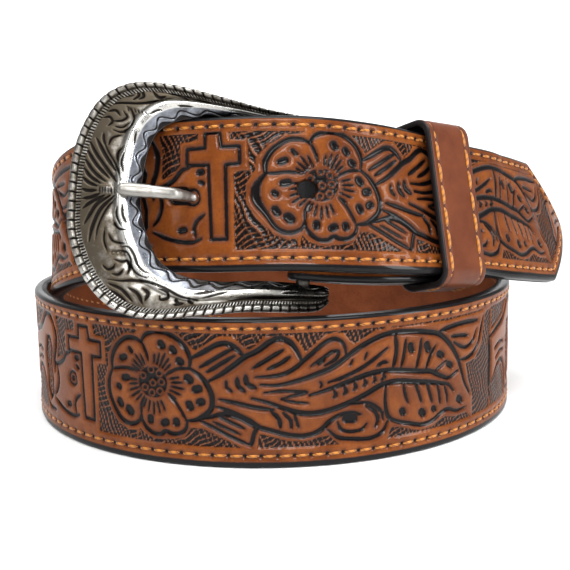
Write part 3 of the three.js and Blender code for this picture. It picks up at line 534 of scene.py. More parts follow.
def relief(length, height, inset):
    """How deep the face is pressed in, and the distances that its stains and painted shade follow."""
    place = pattern_place(length)
    # the last cross was rolled a little taller
    taller = 0.035 * ease(UPPER - 150, UPPER - 120, length) * ease(UPPER - 9, UPPER - 13, length)
    drawn = 5 + (height - 5) / (1 + taller)
    carved = read_tile(carved_tile, place, drawn)
    ground = read_tile(ground_tile, place, drawn)
    margin = np.minimum(height - inset, STRAP_WIDTH - inset - height)
    line = np.where(height > STRAP_WIDTH / 2, 3.2, 4.6) - margin
    carved = np.where(line > 0, REACH, np.maximum(carved, (line + 0.5) * 1.2))
    ground = np.where(line > -0.4, REACH, ground)
    carved = np.minimum(carved, needle_distance(length, inset, height)) - 0.1
    knife = 0.5 * ease(0.28, -0.35, carved)
    bevel = 0.2 * np.exp(-np.maximum(carved, 0) / 0.6) + 0.12 * np.exp(-np.maximum(ground, 0) / 0.5)
    hatch = ground_ridges(place, height)
    sunk = 0.42 * ease(0.16, -0.3, ground) - 0.26 * hatch * ease(0.1, -0.4, ground)
    gutter = 0.22 * np.exp(-(((margin - 3.0) / 0.75) ** 2))
    hole = hole_distance(length, height)
    punched = 2.4 * ease(0.05, -0.35, hole) + 0.16 * ease(0.9, 0, hole) * (hole > 0)
    depth = np.maximum(sunk, knife) + bevel * (margin > 3.8) + gutter + punched
    return depth, {"carved": carved, "ground": ground, "margin": margin, "hole": hole, "hatch": hatch}


def side_rows(corners, inset, rounding, heights, depths):
    """Adds the strap's rounded sides below and above its face: heights and depths of all rows."""
    low = [inset + h * rounding for h, _ in corners]
    high = [STRAP_WIDTH - inset - h * rounding for h, _ in corners][::-1]
    side = np.tile([d for _, d in corners], (len(heights), 1))
    return np.hstack(low + [heights] + high), np.hstack([side, depths, side[:, ::-1]])


def strap_points(frames, heights, depths):
    foot, up, out = frames
    return foot[:, None] + out[:, None] * depths[..., None] + up[:, None] * heights[..., None]


CORNERS = [(0, GLUE_DEPTH), (0.0, -0.3), (0.04, 0.2), (0.2, 0.6), (0.55, 0.88)]
# what each number reads on the strap's sides, clear of the tooled face
ON_SIDES = {"carved": REACH, "ground": REACH, "margin": 0, "hole": 3 * REACH, "hatch": 0}


def strap_rings(frames, lengths, rows):
    """Points and numbers for a run of strap: frames holds foot, up and out for each ring."""
    inset = tip_inset(lengths)[:, None]
    span = STRAP_WIDTH - 2 * inset
    heights = inset + 1.0 + (span - 2.0) * np.linspace(0, 1, rows)[None, :]
    depth, numbers = relief(np.repeat(lengths[:, None], rows, 1), heights, inset)
    rounding = np.minimum(1.0, span / 4)
    all_heights, depths = side_rows(CORNERS, inset, rounding, heights, FACE_DEPTH - depth)
    side = np.ones((len(lengths), len(CORNERS)))
    for key, reading in ON_SIDES.items():
        numbers[key] = np.hstack([side * reading, numbers[key], side * reading])
    numbers["height"] = all_heights
    return strap_points(frames, all_heights, TOOLED_MIDDLE + depths), numbers


def frames_at(lengths):
    foot, _, up, out = strap_at(turn_at(lengths))
    return foot, up, out


def fold_frames():
    """The fold round the bar: the hidden flap, the bend and the way back to the run."""
    path = [(x, 2 * BAR_DEPTH - TOOLED_MIDDLE) for x in np.linspace(30, 7, 12)]
    for a in np.radians(np.linspace(-90, -270, 25)):
        path.append((math.cos(a) * FOLD_RADIUS, BAR_DEPTH + math.sin(a) * FOLD_RADIUS))
    path += [(x, TOOLED_MIDDLE) for x in np.linspace(2.5, 9.4, 6)]
    foot0, along0, up0, out0 = (v[0] for v in strap_at([BAR_TURN]))
    centres, ups = [], []
    for x, depth in path:
        if x <= FOLD_RADIUS:
            centres.append(foot0 + out0 * depth + along0 * x)
            ups.append(up0)
        else:
            foot, _, up, out = (v[0] for v in strap_at(turn_at([x])))
            centres.append(foot + out * depth)
            ups.append(up)
    centres, ups = np.array(centres), np.array(ups)
    along = unit(np.gradient(centres, axis=0))
    out = np.cross(along, ups)
    return centres - out * TOOLED_MIDDLE, ups, out


tan_leather, tree, shader = new_material(
    "tooled_leather", Specular_IOR_Level=0.05, Coat_Weight=0.22, Coat_Roughness=0.1
)
read = attributes(tree, "carved", "ground", "margin", "hole", "hatch", "height")
grain_place = node(tree, "ShaderNodeTexCoord"), 3
ragged = noise(tree, 900, 3, 0.6, grain_place)
wobble = maths(tree, "MULTIPLY", maths(tree, "SUBTRACT", ragged, 0.5), 0.34)
mottled = noise(tree, 95, 5, 0.6, grain_place)
hide = blend_colour(tree, fade(tree, mottled, 0.34, 0.68), *TAN)
fine = noise(tree, 1500, 4, 0.62, grain_place)
hide = blend_colour(tree, fade(tree, fine, 0.42, 0.7, 0, 0.35), hide, (0.09, 0.022, 0.006))
# antique paste is wiped off the high parts and stays darker beside each cut
beside = maths(tree, "ADD", read["carved"], wobble)
hide = stain_and_shade(tree, hide, beside, 0.0, 0.95, ANTIQUE_PASTE, 0.62)
cut = fade(tree, beside, -0.16, 0.16, 1, 0)
hide = blend_colour(tree, cut, hide, CUT_BLACK)
ridge = fade(tree, maths(tree, "ADD", read["hatch"], maths(tree, "MULTIPLY", wobble, 1.1)), 0.2, 0.8)
sunk = blend_colour(tree, ridge, (0.004, 0.0026, 0.0023), (0.17, 0.058, 0.024))
hide = stain_and_shade(tree, hide, maths(tree, "ADD", read["ground"], wobble), -0.3, 0.1, sunk)
# painted shade: the punched holes are coloured nearly black inside
hide = stain_and_shade(tree, hide, read["hole"], -0.25, 0.1, (0.014, 0.006, 0.003))
edge_line = maths(tree, "ADD", read["margin"], maths(tree, "MULTIPLY", wobble, 0.7))
low_edge = fade(tree, read["height"], 14, 20, 0.55, -0.55)
hide = stain_and_shade(tree, hide, maths(tree, "SUBTRACT", edge_line, low_edge), 1.0, 1.5, EDGE_PAINT)
shine = fade(tree, mottled, 0.3, 0.75, 0.3, 0.42)
shine = maths(tree, "ADD", shine, maths(tree, "MULTIPLY", cut, 0.12))
pores = node(tree, "ShaderNodeTexVoronoi", {"Scale": 1700.0, "Vector": grain_place}), 0
skin = maths(tree, "ADD", maths(tree, "MULTIPLY", pores, 0.5), fine)
finish(tree, shader, hide, shine, 0.22, 0.00018, skin)

for name, start, end, step, rows in [
    ("strap_first_turn", 9.6, 324.0, 0.62, 58),
    ("strap_lower_front", 324.0, 590.0, 0.37, 98),
    ("strap_behind", 590.0, 790.0, 0.62, 58),
    ("strap_upper_front", 790.0, STRAP_LENGTH - 0.02, 0.36, 100),
]:
    lengths = np.linspace(start, end, int((end - start) / step) + 1)
    points, numbers = strap_rings(frames_at(lengths), lengths, rows)
    if name == "strap_first_turn":
        fold = fold_frames()
        under = np.linspace(-60, 9, len(fold[0]))
        fold_points, fold_numbers = strap_rings(fold, under, rows)
        points = np.concatenate([fold_points, points])
        numbers = {key: np.concatenate([fold_numbers[key], numbers[key]]) for key in numbers}
    strap = millimetres(name, points, tube_faces(*points.shape[:2]), numbers)
    strap.data.set_sharp_from_angle(angle=math.radians(75))
    strap.data.materials.append(tan_leather)
    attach(strap, "root")
    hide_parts("tooled_strap")

# The lining
# A second, smooth strap of leather is glued and sewn to the back of the tooled one, and shows
# on the inside of the coil. Its edge is painted with the other layer's.
lining_leather, tree, shader = new_material("lining_leather", Specular_IOR_Level=0.1)
read = attributes(tree, "margin", "hole", "carved")
grain_place = node(tree, "ShaderNodeTexCoord"), 3
mottled = noise(tree, 60, 5, 0.6, grain_place)
fine = noise(tree, 1300, 4, 0.65, grain_place)
hide = blend_colour(tree, fade(tree, mottled, 0.32, 0.7), (0.125, 0.034, 0.012), (0.2, 0.056, 0.02))
hide = blend_colour(tree, fade(tree, fine, 0.45, 0.75, 0, 0.4), hide, (0.075, 0.02, 0.008))
# painted shade: the needle holes and the punched holes are coloured nearly black
hide = stain_and_shade(tree, hide, read["carved"], -0.1, 0.15, (0.01, 0.007, 0.006))
hide = stain_and_shade(tree, hide, read["hole"], -0.25, 0.1, (0.004, 0.003, 0.003))
hide = stain_and_shade(tree, hide, read["margin"], 0.4, 0.9, EDGE_PAINT)
finish(tree, shader, hide, fade(tree, mottled, 0.3, 0.75, 0.42, 0.56), 0.25, 0.0002, fine)

lengths = np.linspace(10.0, STRAP_LENGTH - 0.05, 1100)
inset = tip_inset(lengths)[:, None]
span = STRAP_WIDTH - 2 * inset
rows = 34
heights = inset + 0.7 + (span - 1.4) * np.linspace(0, 1, rows)[None, :]
hole = hole_distance(np.repeat(lengths[:, None], rows, 1), heights)
needle = needle_distance(np.repeat(lengths[:, None], rows, 1), inset, heights)
face = LINING_FACE + 1.2 * ease(0.05, -0.5, hole) + 0.18 * ease(0.2, -0.3, needle)
corners = [(0, -0.02), (0.0, -1.1), (0.25, -1.5)]
all_heights, depths = side_rows(corners, inset, np.minimum(1, span / 3), heights, face)
points = strap_points(frames_at(lengths), all_heights, depths)
clear = np.full((len(lengths), 3), REACH)
margin = np.minimum(heights - inset, STRAP_WIDTH - inset - heights)
faces = [quad[::-1] for quad in tube_faces(*points.shape[:2])]
lining = millimetres("lining", points, faces, {
    "margin": np.hstack([clear * 0, margin, clear * 0]),
    "hole": np.hstack([clear, hole, clear]),
    "carved": np.hstack([clear, needle, clear]),
})
lining.data.set_sharp_from_angle(angle=math.radians(60))
lining.data.materials.append(lining_leather)
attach(lining, "root")
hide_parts("lining_strap")

# The stitching
# Two rows of thick waxed thread in golden orange hold both straps together. Each stitch
# lies plump in a pressed line between two needle holes, on the face and on the lining.
thread, tree, shader = new_material(
    "golden_thread", Roughness=0.5, Specular_IOR_Level=0.4, Sheen_Weight=0.25, Sheen_Roughness=0.4
)
strand = maths(tree, "SINE", attributes(tree, "twist")["twist"])
shade_noise = noise(tree, 350, 3, 0.6, (node(tree, "ShaderNodeTexCoord"), 3))
gold = blend_colour(tree, fade(tree, strand, -1.0, 0.2), (0.22, 0.074, 0.005), (0.46, 0.17, 0.014))
gold = blend_colour(tree, fade(tree, shade_noise, 0.35, 0.7, 0, 0.45), gold, (0.3, 0.095, 0.01))
finish(tree, shader, gold, None, 0.15, 0.00015, strand)
THREAD_TWIST = 3.4


def stitches(starts, ends, normals, radius, flatten=0.72, sag=0.35):
    """Plump stitches between pairs of points: points, faces and the twist of the thread."""
    starts, ends, normals = (np.asarray(v, dtype=float) for v in (starts, ends, normals))
    along = ends - starts
    size = np.linalg.norm(along, axis=1, keepdims=True)
    along = along / size
    side = unit(np.cross(along, normals))
    up = np.cross(side, along)
    share = np.array([0.0, 0.05, 0.14, 0.3, 0.5, 0.7, 0.86, 0.95, 1.0])
    thick = np.array([0.16, 0.6, 0.86, 1.0, 1.04, 1.0, 0.86, 0.6, 0.16])
    angles = np.arange(8) * math.pi / 4
    drop = -sag * (np.abs(share * 2 - 1) ** 3)
    wide = radius * thick[:, None] * np.cos(angles)
    high = radius * thick[:, None] * np.sin(angles) * flatten + drop[:, None]
    points = (
        starts[:, None, None] + along[:, None, None] * size[:, None, None] * share[:, None, None]
        + side[:, None, None] * wide[..., None] + up[:, None, None] * high[..., None]
    )
    twist = share[None, :, None] * size[:, :, None] * THREAD_TWIST + angles
    count = len(share) * 8
    one = tube_faces(len(share), 8)
    faces = [[v + i * count for v in f] for i in range(len(starts)) for f in one]
    return points, faces, twist


def row_point(length, from_edge, top, depth):
    """Places on a stitch row, and the way out from the strap there."""
    foot, up, out = frames_at(length)
    inset = tip_inset(length)
    height = STRAP_WIDTH - inset - from_edge if top else inset + from_edge
    return foot + up * height[:, None] + out * depth, out


holes = (np.arange(3, int(STRAP_LENGTH / STITCH_PITCH)) + 0.5) * STITCH_PITCH
holes = holes[holes < STRAP_LENGTH - 1.5]
for name, depth, facing in (("face_stitching", 2.03, 1), ("lining_stitching", LINING_FACE + 0.1, -1)):
    batches = []
    for top in (False, True):
        from_edge = STRAP_WIDTH - STITCH_ROWS[1] if top else STITCH_ROWS[0]
        slant = 0.13 if top else -0.13
        a, normal = row_point(holes[:-1] + NEEDLE_RADIUS, from_edge + slant, top, depth)
        b, _ = row_point(holes[1:] - NEEDLE_RADIUS, from_edge - slant, top, depth)
        batches.append((a, b, normal * facing))
    a, b, normal = (np.concatenate(parts) for parts in zip(*batches))
    points, faces, twist = stitches(a, b, normal, 0.36 if facing > 0 else 0.33)
    sewn = millimetres(name, points, faces, {"twist": twist})
    sewn.data.materials.append(thread)
    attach(sewn, "root")

# The keeper loop
# A plain band of smooth leather, folded round both straps to hold the loose end down. It is
# sewn along both of its edges with long stitches, and its edges are painted black.
KEEPER_WIDTH = 16.4
KEEPER_WALL = 1.7
KEEPER_FROM_TIP = 80.6
KEEPER_TILT = math.radians(2)
KEEPER_SEAM = 2.25
keeper_length = STRAP_LENGTH - KEEPER_FROM_TIP
upper = [v[0] for v in strap_at(turn_at(keeper_length))]
lower = [v[0] for v in strap_at(turn_at(keeper_length) - 720)]
keeper_along = unit(upper[1] + lower[1])
keeper_up = unit(upper[2] + lower[2])
keeper_out = np.cross(keeper_along, keeper_up)
keeper_up = keeper_up * math.cos(KEEPER_TILT) + keeper_out * math.sin(KEEPER_TILT)
keeper_up = unit(keeper_up - keeper_along * (keeper_up @ keeper_along))
keeper_out = np.cross(keeper_along, keeper_up)
held = []
for shift in (-0.75, -0.4, 0, 0.4, 0.75):
    turn = turn_at(keeper_length + shift * KEEPER_WIDTH)
    for at in (turn, turn - 720):
        foot, _, up, out = (v[0] for v in strap_at(at))
        held += [foot + up * h + out * d - upper[0] for h in (0, STRAP_WIDTH) for d in (LINING_FACE, 2.15)]
held = np.array(held)
heights, depths = held @ keeper_up, held @ keeper_out
box = (heights.min() - 0.35, heights.max() + 1.7, depths.min() - 0.6, depths.max() + 0.9)


def rounded_box(x0, x1, y0, y1, corner, step=0.45):
    """Points and outward directions round a rectangle with round corners."""
    corner = min(corner, (y1 - y0) / 2.1)
    points, ways = [], []
    right, left, high, low = x1 - corner, x0 + corner, y1 - corner, y0 + corner
    centres = [(right, high), (left, high), (left, low), (right, low)]
    for quarter, (cx, cy) in enumerate(centres):
        for i in range(9):
            a = math.pi / 2 * (quarter + i / 8)
            points.append((cx + math.cos(a) * corner, cy + math.sin(a) * corner))
            ways.append((math.cos(a), math.sin(a)))
        nx, ny = centres[(quarter + 1) % 4]
        a = math.pi / 2 * (quarter + 1)
        start = np.array(points[-1])
        end = np.array((nx + math.cos(a) * corner, ny + math.sin(a) * corner))
        count = int(np.hypot(*(end - start)) / step)
        for i in range(1, count):
            points.append(tuple(start + (end - start) * i / count))
            ways.append((math.cos(a), math.sin(a)))
    return np.array(points), np.array(ways)


inner_line, ways = rounded_box(*box, 3.0)
half = KEEPER_WIDTH / 2
profile = [(-half + 0.15, 0), (-half, 0.3), (-half, 1.2), (-half + 0.3, 1.6)]
profile += [(x, KEEPER_WALL) for x in np.linspace(-half + 0.7, half - 0.7, 32)]
profile += [(half - 0.3, 1.6), (half, 1.2), (half, 0.3), (half - 0.15, 0)]
profile += [(x, 0) for x in np.linspace(half - 1, -half + 1, 6)]
profile = np.array(profile)
edge = half - np.abs(profile[:, 0])
# pressed lines for the stitches, and a slight hollow between them
press = 0.22 * np.exp(-(((edge - KEEPER_SEAM) / 0.42) ** 2)) * (profile[:, 1] > 1.5)
walls = profile[:, 1] - press
flat = inner_line[:, None, :] + ways[:, None, :] * walls[None, :, None]
points = (
    upper[0] + keeper_up * flat[..., :1] + keeper_out * flat[..., 1:]
    + keeper_along * profile[None, :, :1]
)


def loop_faces(rings, around):
    """Quads of a closed loop, whose last ring meets its first."""
    last = (rings - 1) * around
    seam = [[last + k, last + (k + 1) % around, (k + 1) % around, k] for k in range(around)]
    return tube_faces(rings, around, False) + seam


outside = np.where(profile[:, 1] > 1.5, edge, 0)
margins = np.tile(outside, (len(points), 1))
keeper = millimetres("keeper", points, loop_faces(*points.shape[:2]), {"margin": margins})
keeper.data.set_sharp_from_angle(angle=math.radians(60))
keeper_leather, tree, shader = new_material(
    "keeper_leather", Specular_IOR_Level=0.1, Coat_Weight=0.2, Coat_Roughness=0.25
)
grain_place = node(tree, "ShaderNodeTexCoord"), 3
mottled = noise(tree, 120, 5, 0.62, grain_place)
fine = noise(tree, 1400, 4, 0.65, grain_place)
hide = blend_colour(tree, fade(tree, mottled, 0.32, 0.7), (0.088, 0.022, 0.0075), (0.125, 0.033, 0.0115))
hide = blend_colour(tree, fade(tree, fine, 0.45, 0.75, 0, 0.3), hide, (0.09, 0.024, 0.01))
uneven = maths(tree, "MULTIPLY", maths(tree, "SUBTRACT", fine, 0.5), 0.5)
rubbed = maths(tree, "ADD", attributes(tree, "margin")["margin"], uneven)
from_seam = maths(tree, "ABSOLUTE", maths(tree, "SUBTRACT", rubbed, KEEPER_SEAM))
hide = stain_and_shade(tree, hide, from_seam, 0.3, 0.7, (0.05, 0.016, 0.008), 0.6)
hide = stain_and_shade(tree, hide, rubbed, 0.35, 0.6, (0.008, 0.006, 0.006))
finish(tree, shader, hide, fade(tree, mottled, 0.3, 0.75, 0.42, 0.56), 0.25, 0.0002, fine)
keeper.data.materials.append(keeper_leather)
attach(keeper, "root")
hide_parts("keeper_loop")

# long stitches run down the front of the keeper and round its bends
front = ways[:, 1] > -0.3
line = (inner_line + ways * (KEEPER_WALL + 0.02))[front]
facing = (ways[front, :1] * keeper_up + ways[front, 1:] * keeper_out)
first = int(np.argmax(line[:, 0] * 3 - line[:, 1]))
line, facing = np.roll(line, -first, 0), np.roll(facing, -first, 0)
run = travelled(line)
starts, ends, normals = [], [], []
for side in (-1, 1):
    for at in np.arange(1.0 + side * 0.6, run[-1] - 5.4, 5.9):
        for store, here in ((starts, at), (ends, at + 5.3)):
            x, y = np.interp(here, run, line[:, 0]), np.interp(here, run, line[:, 1])
            seam = keeper_along * side * (half - KEEPER_SEAM)
            store.append(upper[0] + keeper_up * x + keeper_out * y + seam)
        normals.append(facing[np.searchsorted(run, at + 2.6)])
points, faces, twist = stitches(starts, ends, normals, 0.5)
sewn = millimetres("keeper_stitching", points, faces, {"twist": twist})
sewn.data.materials.append(thread)
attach(sewn, "root")

# The buckle
# A cast and bowed horseshoe of antiqued silver, which the strap folds round at its bar. It is
# engraved by hand: a rope edge, a ribbed groove, a dark field of scrolls, and a bright band
# whose bevel carries a wavy line. Points are in millimetres from the bar's middle.
BUCKLE_SWING = math.radians(1.27178)
BUCKLE_BOW = 110.0
BUCKLE_APEX = -29.35
ROPE_WIDTH = 2.1
ROPE_PITCH = 2.4
RIB_PITCH = 0.8
WAVE_LENGTH = 8.6
SILVER, TARNISH_AND_SHADE = (0.52, 0.508, 0.478), (0.088, 0.072, 0.052)
foot, along, BUCKLE_UP, out = (v[0] for v in strap_at([BAR_TURN]))
BUCKLE_MIDDLE = foot + out * BAR_DEPTH + BUCKLE_UP * STRAP_WIDTH / 2
BUCKLE_ALONG = along * math.cos(BUCKLE_SWING) + out * math.sin(BUCKLE_SWING)
BUCKLE_OUT = out * math.cos(BUCKLE_SWING) - along * math.sin(BUCKLE_SWING)
OUTER_EDGE = np.array([
    (6.9, -24.4), (4.6, -26.3), (-1.6, -27.2), (-14.1, -28), (-25.2, -29.8), (-37.7, -31.4), (-45.3, -30.1),
    (-50.8, -26.5), (-55.2, -20.9), (-58.9, -12), (-59.7, -2.1), (-59.3, 7.8), (-56.9, 16.2), (-52.8, 22.6),
    (-46.5, 26.1), (-38, 26.6), (-25.2, 24.8), (-14.1, 23), (-1.6, 22.1), (4.6, 21.4), (6.9, 20.2),
])
INNER_EDGE = np.array([
    (6.9, -20.3), (5.5, -19.9), (-0.8, -19.75), (-11.3, -19.95), (-20.9, -20.9), (-28.8, -20.5), (-33.4, -19),
    (-36.9, -16), (-39.2, -11.8), (-41.1, -6.5), (-41.9, -1), (-41.6, 4.5), (-40.7, 10.5), (-39, 14.5),
    (-35.8, 17.1), (-30.6, 18.7), (-21, 19.6), (-11.3, 19.6), (-0.8, 19.6), (5.5, 19.9), (6.9, 20.3),
])
ENGRAVED = [
    (0.46, [(-55.4, 11.5), (-53.6, 8.4), (-51.2, 5.4), (-47.9, 1.5)]),
    (0.46, [(-56, 9.4), (-53.3, 5.6), (-49.8, 2.3)]), (0.46, [(-56.2, 6.9), (-53.7, 3.7), (-50.6, 1.4)]),
    (0.46, [(-56.2, 4.6), (-54.5, 2.5), (-51.8, 0.9)]), (0.46, [(-56.3, 2.2), (-54.8, 1), (-52.6, 0.2)]),
    (0.46, [(-53.7, 12.1), (-51.2, 8), (-48.3, 4.2)]),
    (0.26, [(-52.2, 12.1), (-50.4, 8.7), (-48.2, 5.4), (-46.8, 1.7)]),
    (0.46, [(-56.3, -0.6), (-54.8, -1), (-52.7, -0.8)]), (0.46, [(-56, -3), (-53.9, -2.6), (-51.8, -1.6)]),
    (0.46, [(-55.7, -5.4), (-53.9, -3.9), (-50.6, -1.9)]),
    (0.46, [(-55, -9.2), (-53.7, -6.6), (-52.2, -4.1), (-49.2, -1.9)]),
    (0.46, [(-53.5, -13.6), (-52.9, -9.6), (-51.3, -5.4), (-48.2, -1.9)]),
    (0.26, [(-51.9, -13.2), (-51.5, -9.6), (-49.9, -5.4), (-47.7, -2.3)]),
    (0.26, [(-49.9, -9.8), (-49.8, -13), (-48.7, -15.8)]),
    (0.3, [(-49, -11.2), (-47.5, -13.1), (-44.8, -13.4)]),
    (0.3, [(-47.9, -8.1), (-46.6, -9.8), (-44.6, -10.3)]),
    (0.34, [(-47, -17.5), (-45.2, -17.9), (-43.7, -17.7), (-43, -19.1), (-43.5, -20.8)]),
    (0.34, [(-49.7, -19), (-48.4, -20), (-47.1, -19.5), (-46.8, -18.6)]),
    (0.34, [(-47.3, -21), (-45.7, -21.1), (-44.7, -19.9)]),
    (0.3, [(-45.6, -14.3), (-43.7, -14.3), (-42.2, -16.2), (-41.2, -18.5), (-39.5, -20), (-37.9, -20.4)]),
    (0.26, [(-46.9, -15.4), (-44.5, -15.3), (-43.1, -16.8), (-42.4, -19.4), (-40.4, -21), (-37.9, -21.3)]),
    (0.36, [(-48.3, -22.4), (-45, -22.6), (-42, -22.3), (-37.9, -22.5), (-34.1, -23.7), (-30.2, -25.4),
        (-26.2, -25.9)]),
    (0.42, [(-48, -23.4), (-44.6, -24.7), (-41.8, -27.4)]),
    (0.36, [(-47.5, -24.9), (-44.9, -26.4), (-43, -27.9)]),
    (0.42, [(-43, -24.1), (-40.7, -25.5), (-39.4, -27.8)]),
    (0.4, [(-39.6, -24), (-38.2, -25.1), (-38.8, -27)]),
    (0.34, [(-35.7, -23.9), (-33.7, -24.5), (-33.3, -25.9), (-35, -26.5), (-35.4, -25.6)]),
    (0.4, [(-31.5, -26.1), (-30.6, -27.4)]), (0.4, [(-31.7, -27.5), (-29.6, -27)]),
    (0.36, [(-28.4, -26.2), (-27.2, -27)]), (0.3, [(-25, -25.4), (-22, -24.4), (-19, -23.4)]),
    (0.34, [(-27, -24.6), (-24.4, -24), (-21.6, -23.2)]),
    (0.36, [(-18.6, -25.6), (-15, -24.8), (-11, -24.2), (-6, -23.8), (-1, -23.2)]),
    (0.3, [(-5.4, -22.6), (-1.5, -22)]), (0.3, [(-47.2, -4.5), (-47.2, -6.8), (-45.8, -9.4)]),
    (0.3, [(-46, -4.1), (-45.8, -6.4), (-44.7, -8.5)]),
    (0.3, [(-52.5, 19.6), (-49.5, 20.9), (-44.1, 21.1), (-40.2, 21.8), (-36.4, 22.8)]),
    (0.34, [(-51.4, 18.8), (-49.5, 19.1), (-48.3, 17.8)]),
    (0.34, [(-52.4, 17.2), (-50.9, 17.4), (-50.1, 16.3), (-51.1, 15.1)]),
    (0.3, [(-50, 16.4), (-47.9, 16.6), (-46.6, 17.6), (-47.5, 18.9)]),
    (0.3, [(-49.8, 14.2), (-47.5, 13.8), (-45.6, 15.2), (-44.8, 17.3), (-45.7, 19.4), (-46.9, 20.3)]),
    (0.24, [(-49.5, 15.1), (-47.5, 15), (-46, 16.2)]), (0.34, [(-52, 13.4), (-51.8, 11.6), (-51.2, 10.2)]),
    (0.3, [(-50.6, 10.4), (-49.8, 12.2), (-47.6, 13.1)]),
    (0.34, [(-53.7, 18.8), (-51.6, 21.2), (-48.5, 22.6), (-45.4, 23)]),
    (0.42, [(-52.3, 21.6), (-51.8, 22.3)]), (0.42, [(-50.4, 22.9), (-49.9, 23.5)]),
    (0.42, [(-48.6, 23.7), (-48, 24.1)]), (0.42, [(-46.6, 24.1), (-46, 24.6)]),
    (0.36, [(-45.6, 25), (-44.1, 23.3), (-45.4, 21.9)]), (0.34, [(-43.6, 24.6), (-42.9, 23), (-44, 22.1)]),
    (0.36, [(-40.6, 24.2), (-39.2, 22.9), (-37.6, 23.2)]),
    (0.34, [(-37, 24.2), (-34.3, 23.8), (-31.8, 22.8)]), (0.3, [(-33.6, 24.2), (-31, 23.3), (-26.4, 22.6)]),
    (0.3, [(-28.4, 23.8), (-24, 22.6)]), (0.3, [(-24, 23.4), (-19, 22.4)]), (0.3, [(-19, 23), (-13, 22.2)]),
    (0.3, [(-13, 22.8), (-6, 22)]), (0.3, [(-6, 22.6), (0, 21.6)]),
    (0.3, [(-46.8, 10.4), (-48.1, 8.5), (-47.9, 6.2)]), (0.3, [(-46.4, 8.7), (-47, 6.5), (-46.4, 3.8)]),
    (0.3, [(-41, 18.5), (-39.6, 19.4), (-38.2, 19.8)]), (0.3, [(-44, 14.2), (-44.2, 11.8), (-43.9, 10)]),
    (0.3, [(-34.5, 21.1), (-30.6, 21.1)]),
]
for x in (-47.3, -46.2, -45.1, -44.1):
    ring = [(x + 0.45 * math.cos(a), 0.45 * math.sin(a) - 15.9) for a in np.linspace(0, 5.5, 9)]
    ENGRAVED.append((0.14, ring))
for i in range(6):
    ENGRAVED.append((0.17, [(-46.6 + 0.85 * i, 20.2 - 0.22 * i), (-46.2 + 0.85 * i, 18.9 - 0.1 * i)]))
for i in range(6):
    ENGRAVED.append((0.2, [(-51.9 + 0.72 * i, 0.15), (-51.8 + 0.72 * i, -1.5)]))


def bow_at(x):
    """How far the bowed frame stands out from the bar's level."""
    return np.sqrt(BUCKLE_BOW**2 - (x - BUCKLE_APEX) ** 2) - math.sqrt(BUCKLE_BOW**2 - BUCKLE_APEX**2)


def frame_curve(points, shares):
    """A centripetal Catmull-Rom curve through points, read at even shares of its parameter."""
    p = np.vstack([2 * points[0] - points[1], points, 2 * points[-1] - points[-2]])
    at = shares * (len(points) - 1)
    i = np.minimum(at.astype(int), len(points) - 2)
    t = (at - i)[:, None]
    a, b, c, d = p[i], p[i + 1], p[i + 2], p[i + 3]
    d0, d1, d2 = (np.sqrt(np.linalg.norm(v - u, axis=1, keepdims=True)) for u, v in ((a, b), (b, c), (c, d)))
    m1 = ((b - a) / d0 - (c - a) / (d0 + d1) + (c - b) / d1) * d1
    m2 = ((c - b) / d1 - (d - b) / (d1 + d2) + (d - c) / d2) * d1
    return b + m1 * t + (3 * (c - b) - 2 * m1 - m2) * t**2 + (2 * (b - c) + m1 + m2) * t**3


shares = np.linspace(0, 1, 6001)
reach = travelled(frame_curve(OUTER_EDGE, shares))
rings = 960
travel = np.linspace(0.02, reach[-1] - 0.02, rings)
shares = np.interp(travel, reach, shares)
outer_line, inner_line = frame_curve(OUTER_EDGE, shares), frame_curve(INNER_EDGE, shares)
width = np.linalg.norm(inner_line - outer_line, axis=1)
rope = np.minimum(ROPE_WIDTH, 0.3 * width)
groove = rope + np.minimum(1.3, 0.12 * width)
bevel = width - np.minimum(3.3, 0.27 * width)
band = bevel - np.minimum(3.3, 0.26 * width)
zones = [np.zeros(rings), rope, groove, band, bevel, width]
counts = [16, 5, 26, 14, 14]
across, zone, part = [], [], []
for k, count in enumerate(counts):
    steps = (np.arange(count) + 0.5) / count if k else np.linspace(0.03, 0.97, count)
    for u in steps:
        across.append(zones[k] + (zones[k + 1] - zones[k]) * u)
        zone.append(k)
        part.append(u)
across, zone, part = np.array(across).T, np.array(zone), np.array(part)
way = (inner_line - outer_line) / width[:, None]
flat = outer_line[:, None, :] + way[:, None, :] * across[..., None]

TILE_CORNER = -64.0, -34.0
frame_tile = np.full((480, 540), REACH)
for half_width, line in ENGRAVED:
    curve = smooth_line(line, 0.12)
    stamp(frame_tile, curve, tapered(half_width, len(curve), 0.4, 4), *TILE_CORNER)
x, y = flat[..., 0], flat[..., 1]
engraved = read_tile(frame_tile, x, y, *TILE_CORNER)
slope = 0.44 * ease(-30, -8, outer_line[:, 1:]) - 0.22
bead = np.abs(((travel[:, None] + across * slope) / ROPE_PITCH) % 1 - 0.5) * ROPE_PITCH - 0.26
ribs = np.abs(np.sin(math.pi * travel[:, None] / RIB_PITCH))
beat = travel[:, None] * 2 * math.pi / WAVE_LENGTH
bevel_width = (width - bevel)[:, None]
wave = np.abs(part - 0.5 - 0.24 * np.sin(beat)) * bevel_width - 0.22
bevel_cut = np.minimum(wave, (0.78 + 0.15 * np.sin(beat + 0.7) - part) * bevel_width)
full = np.minimum(1, width / 9)[:, None]
crown = np.sqrt(np.maximum(0, 1 - (2 * part - 1) ** 2))[None, :]
zones_at = zone + np.zeros((rings, 1), int)
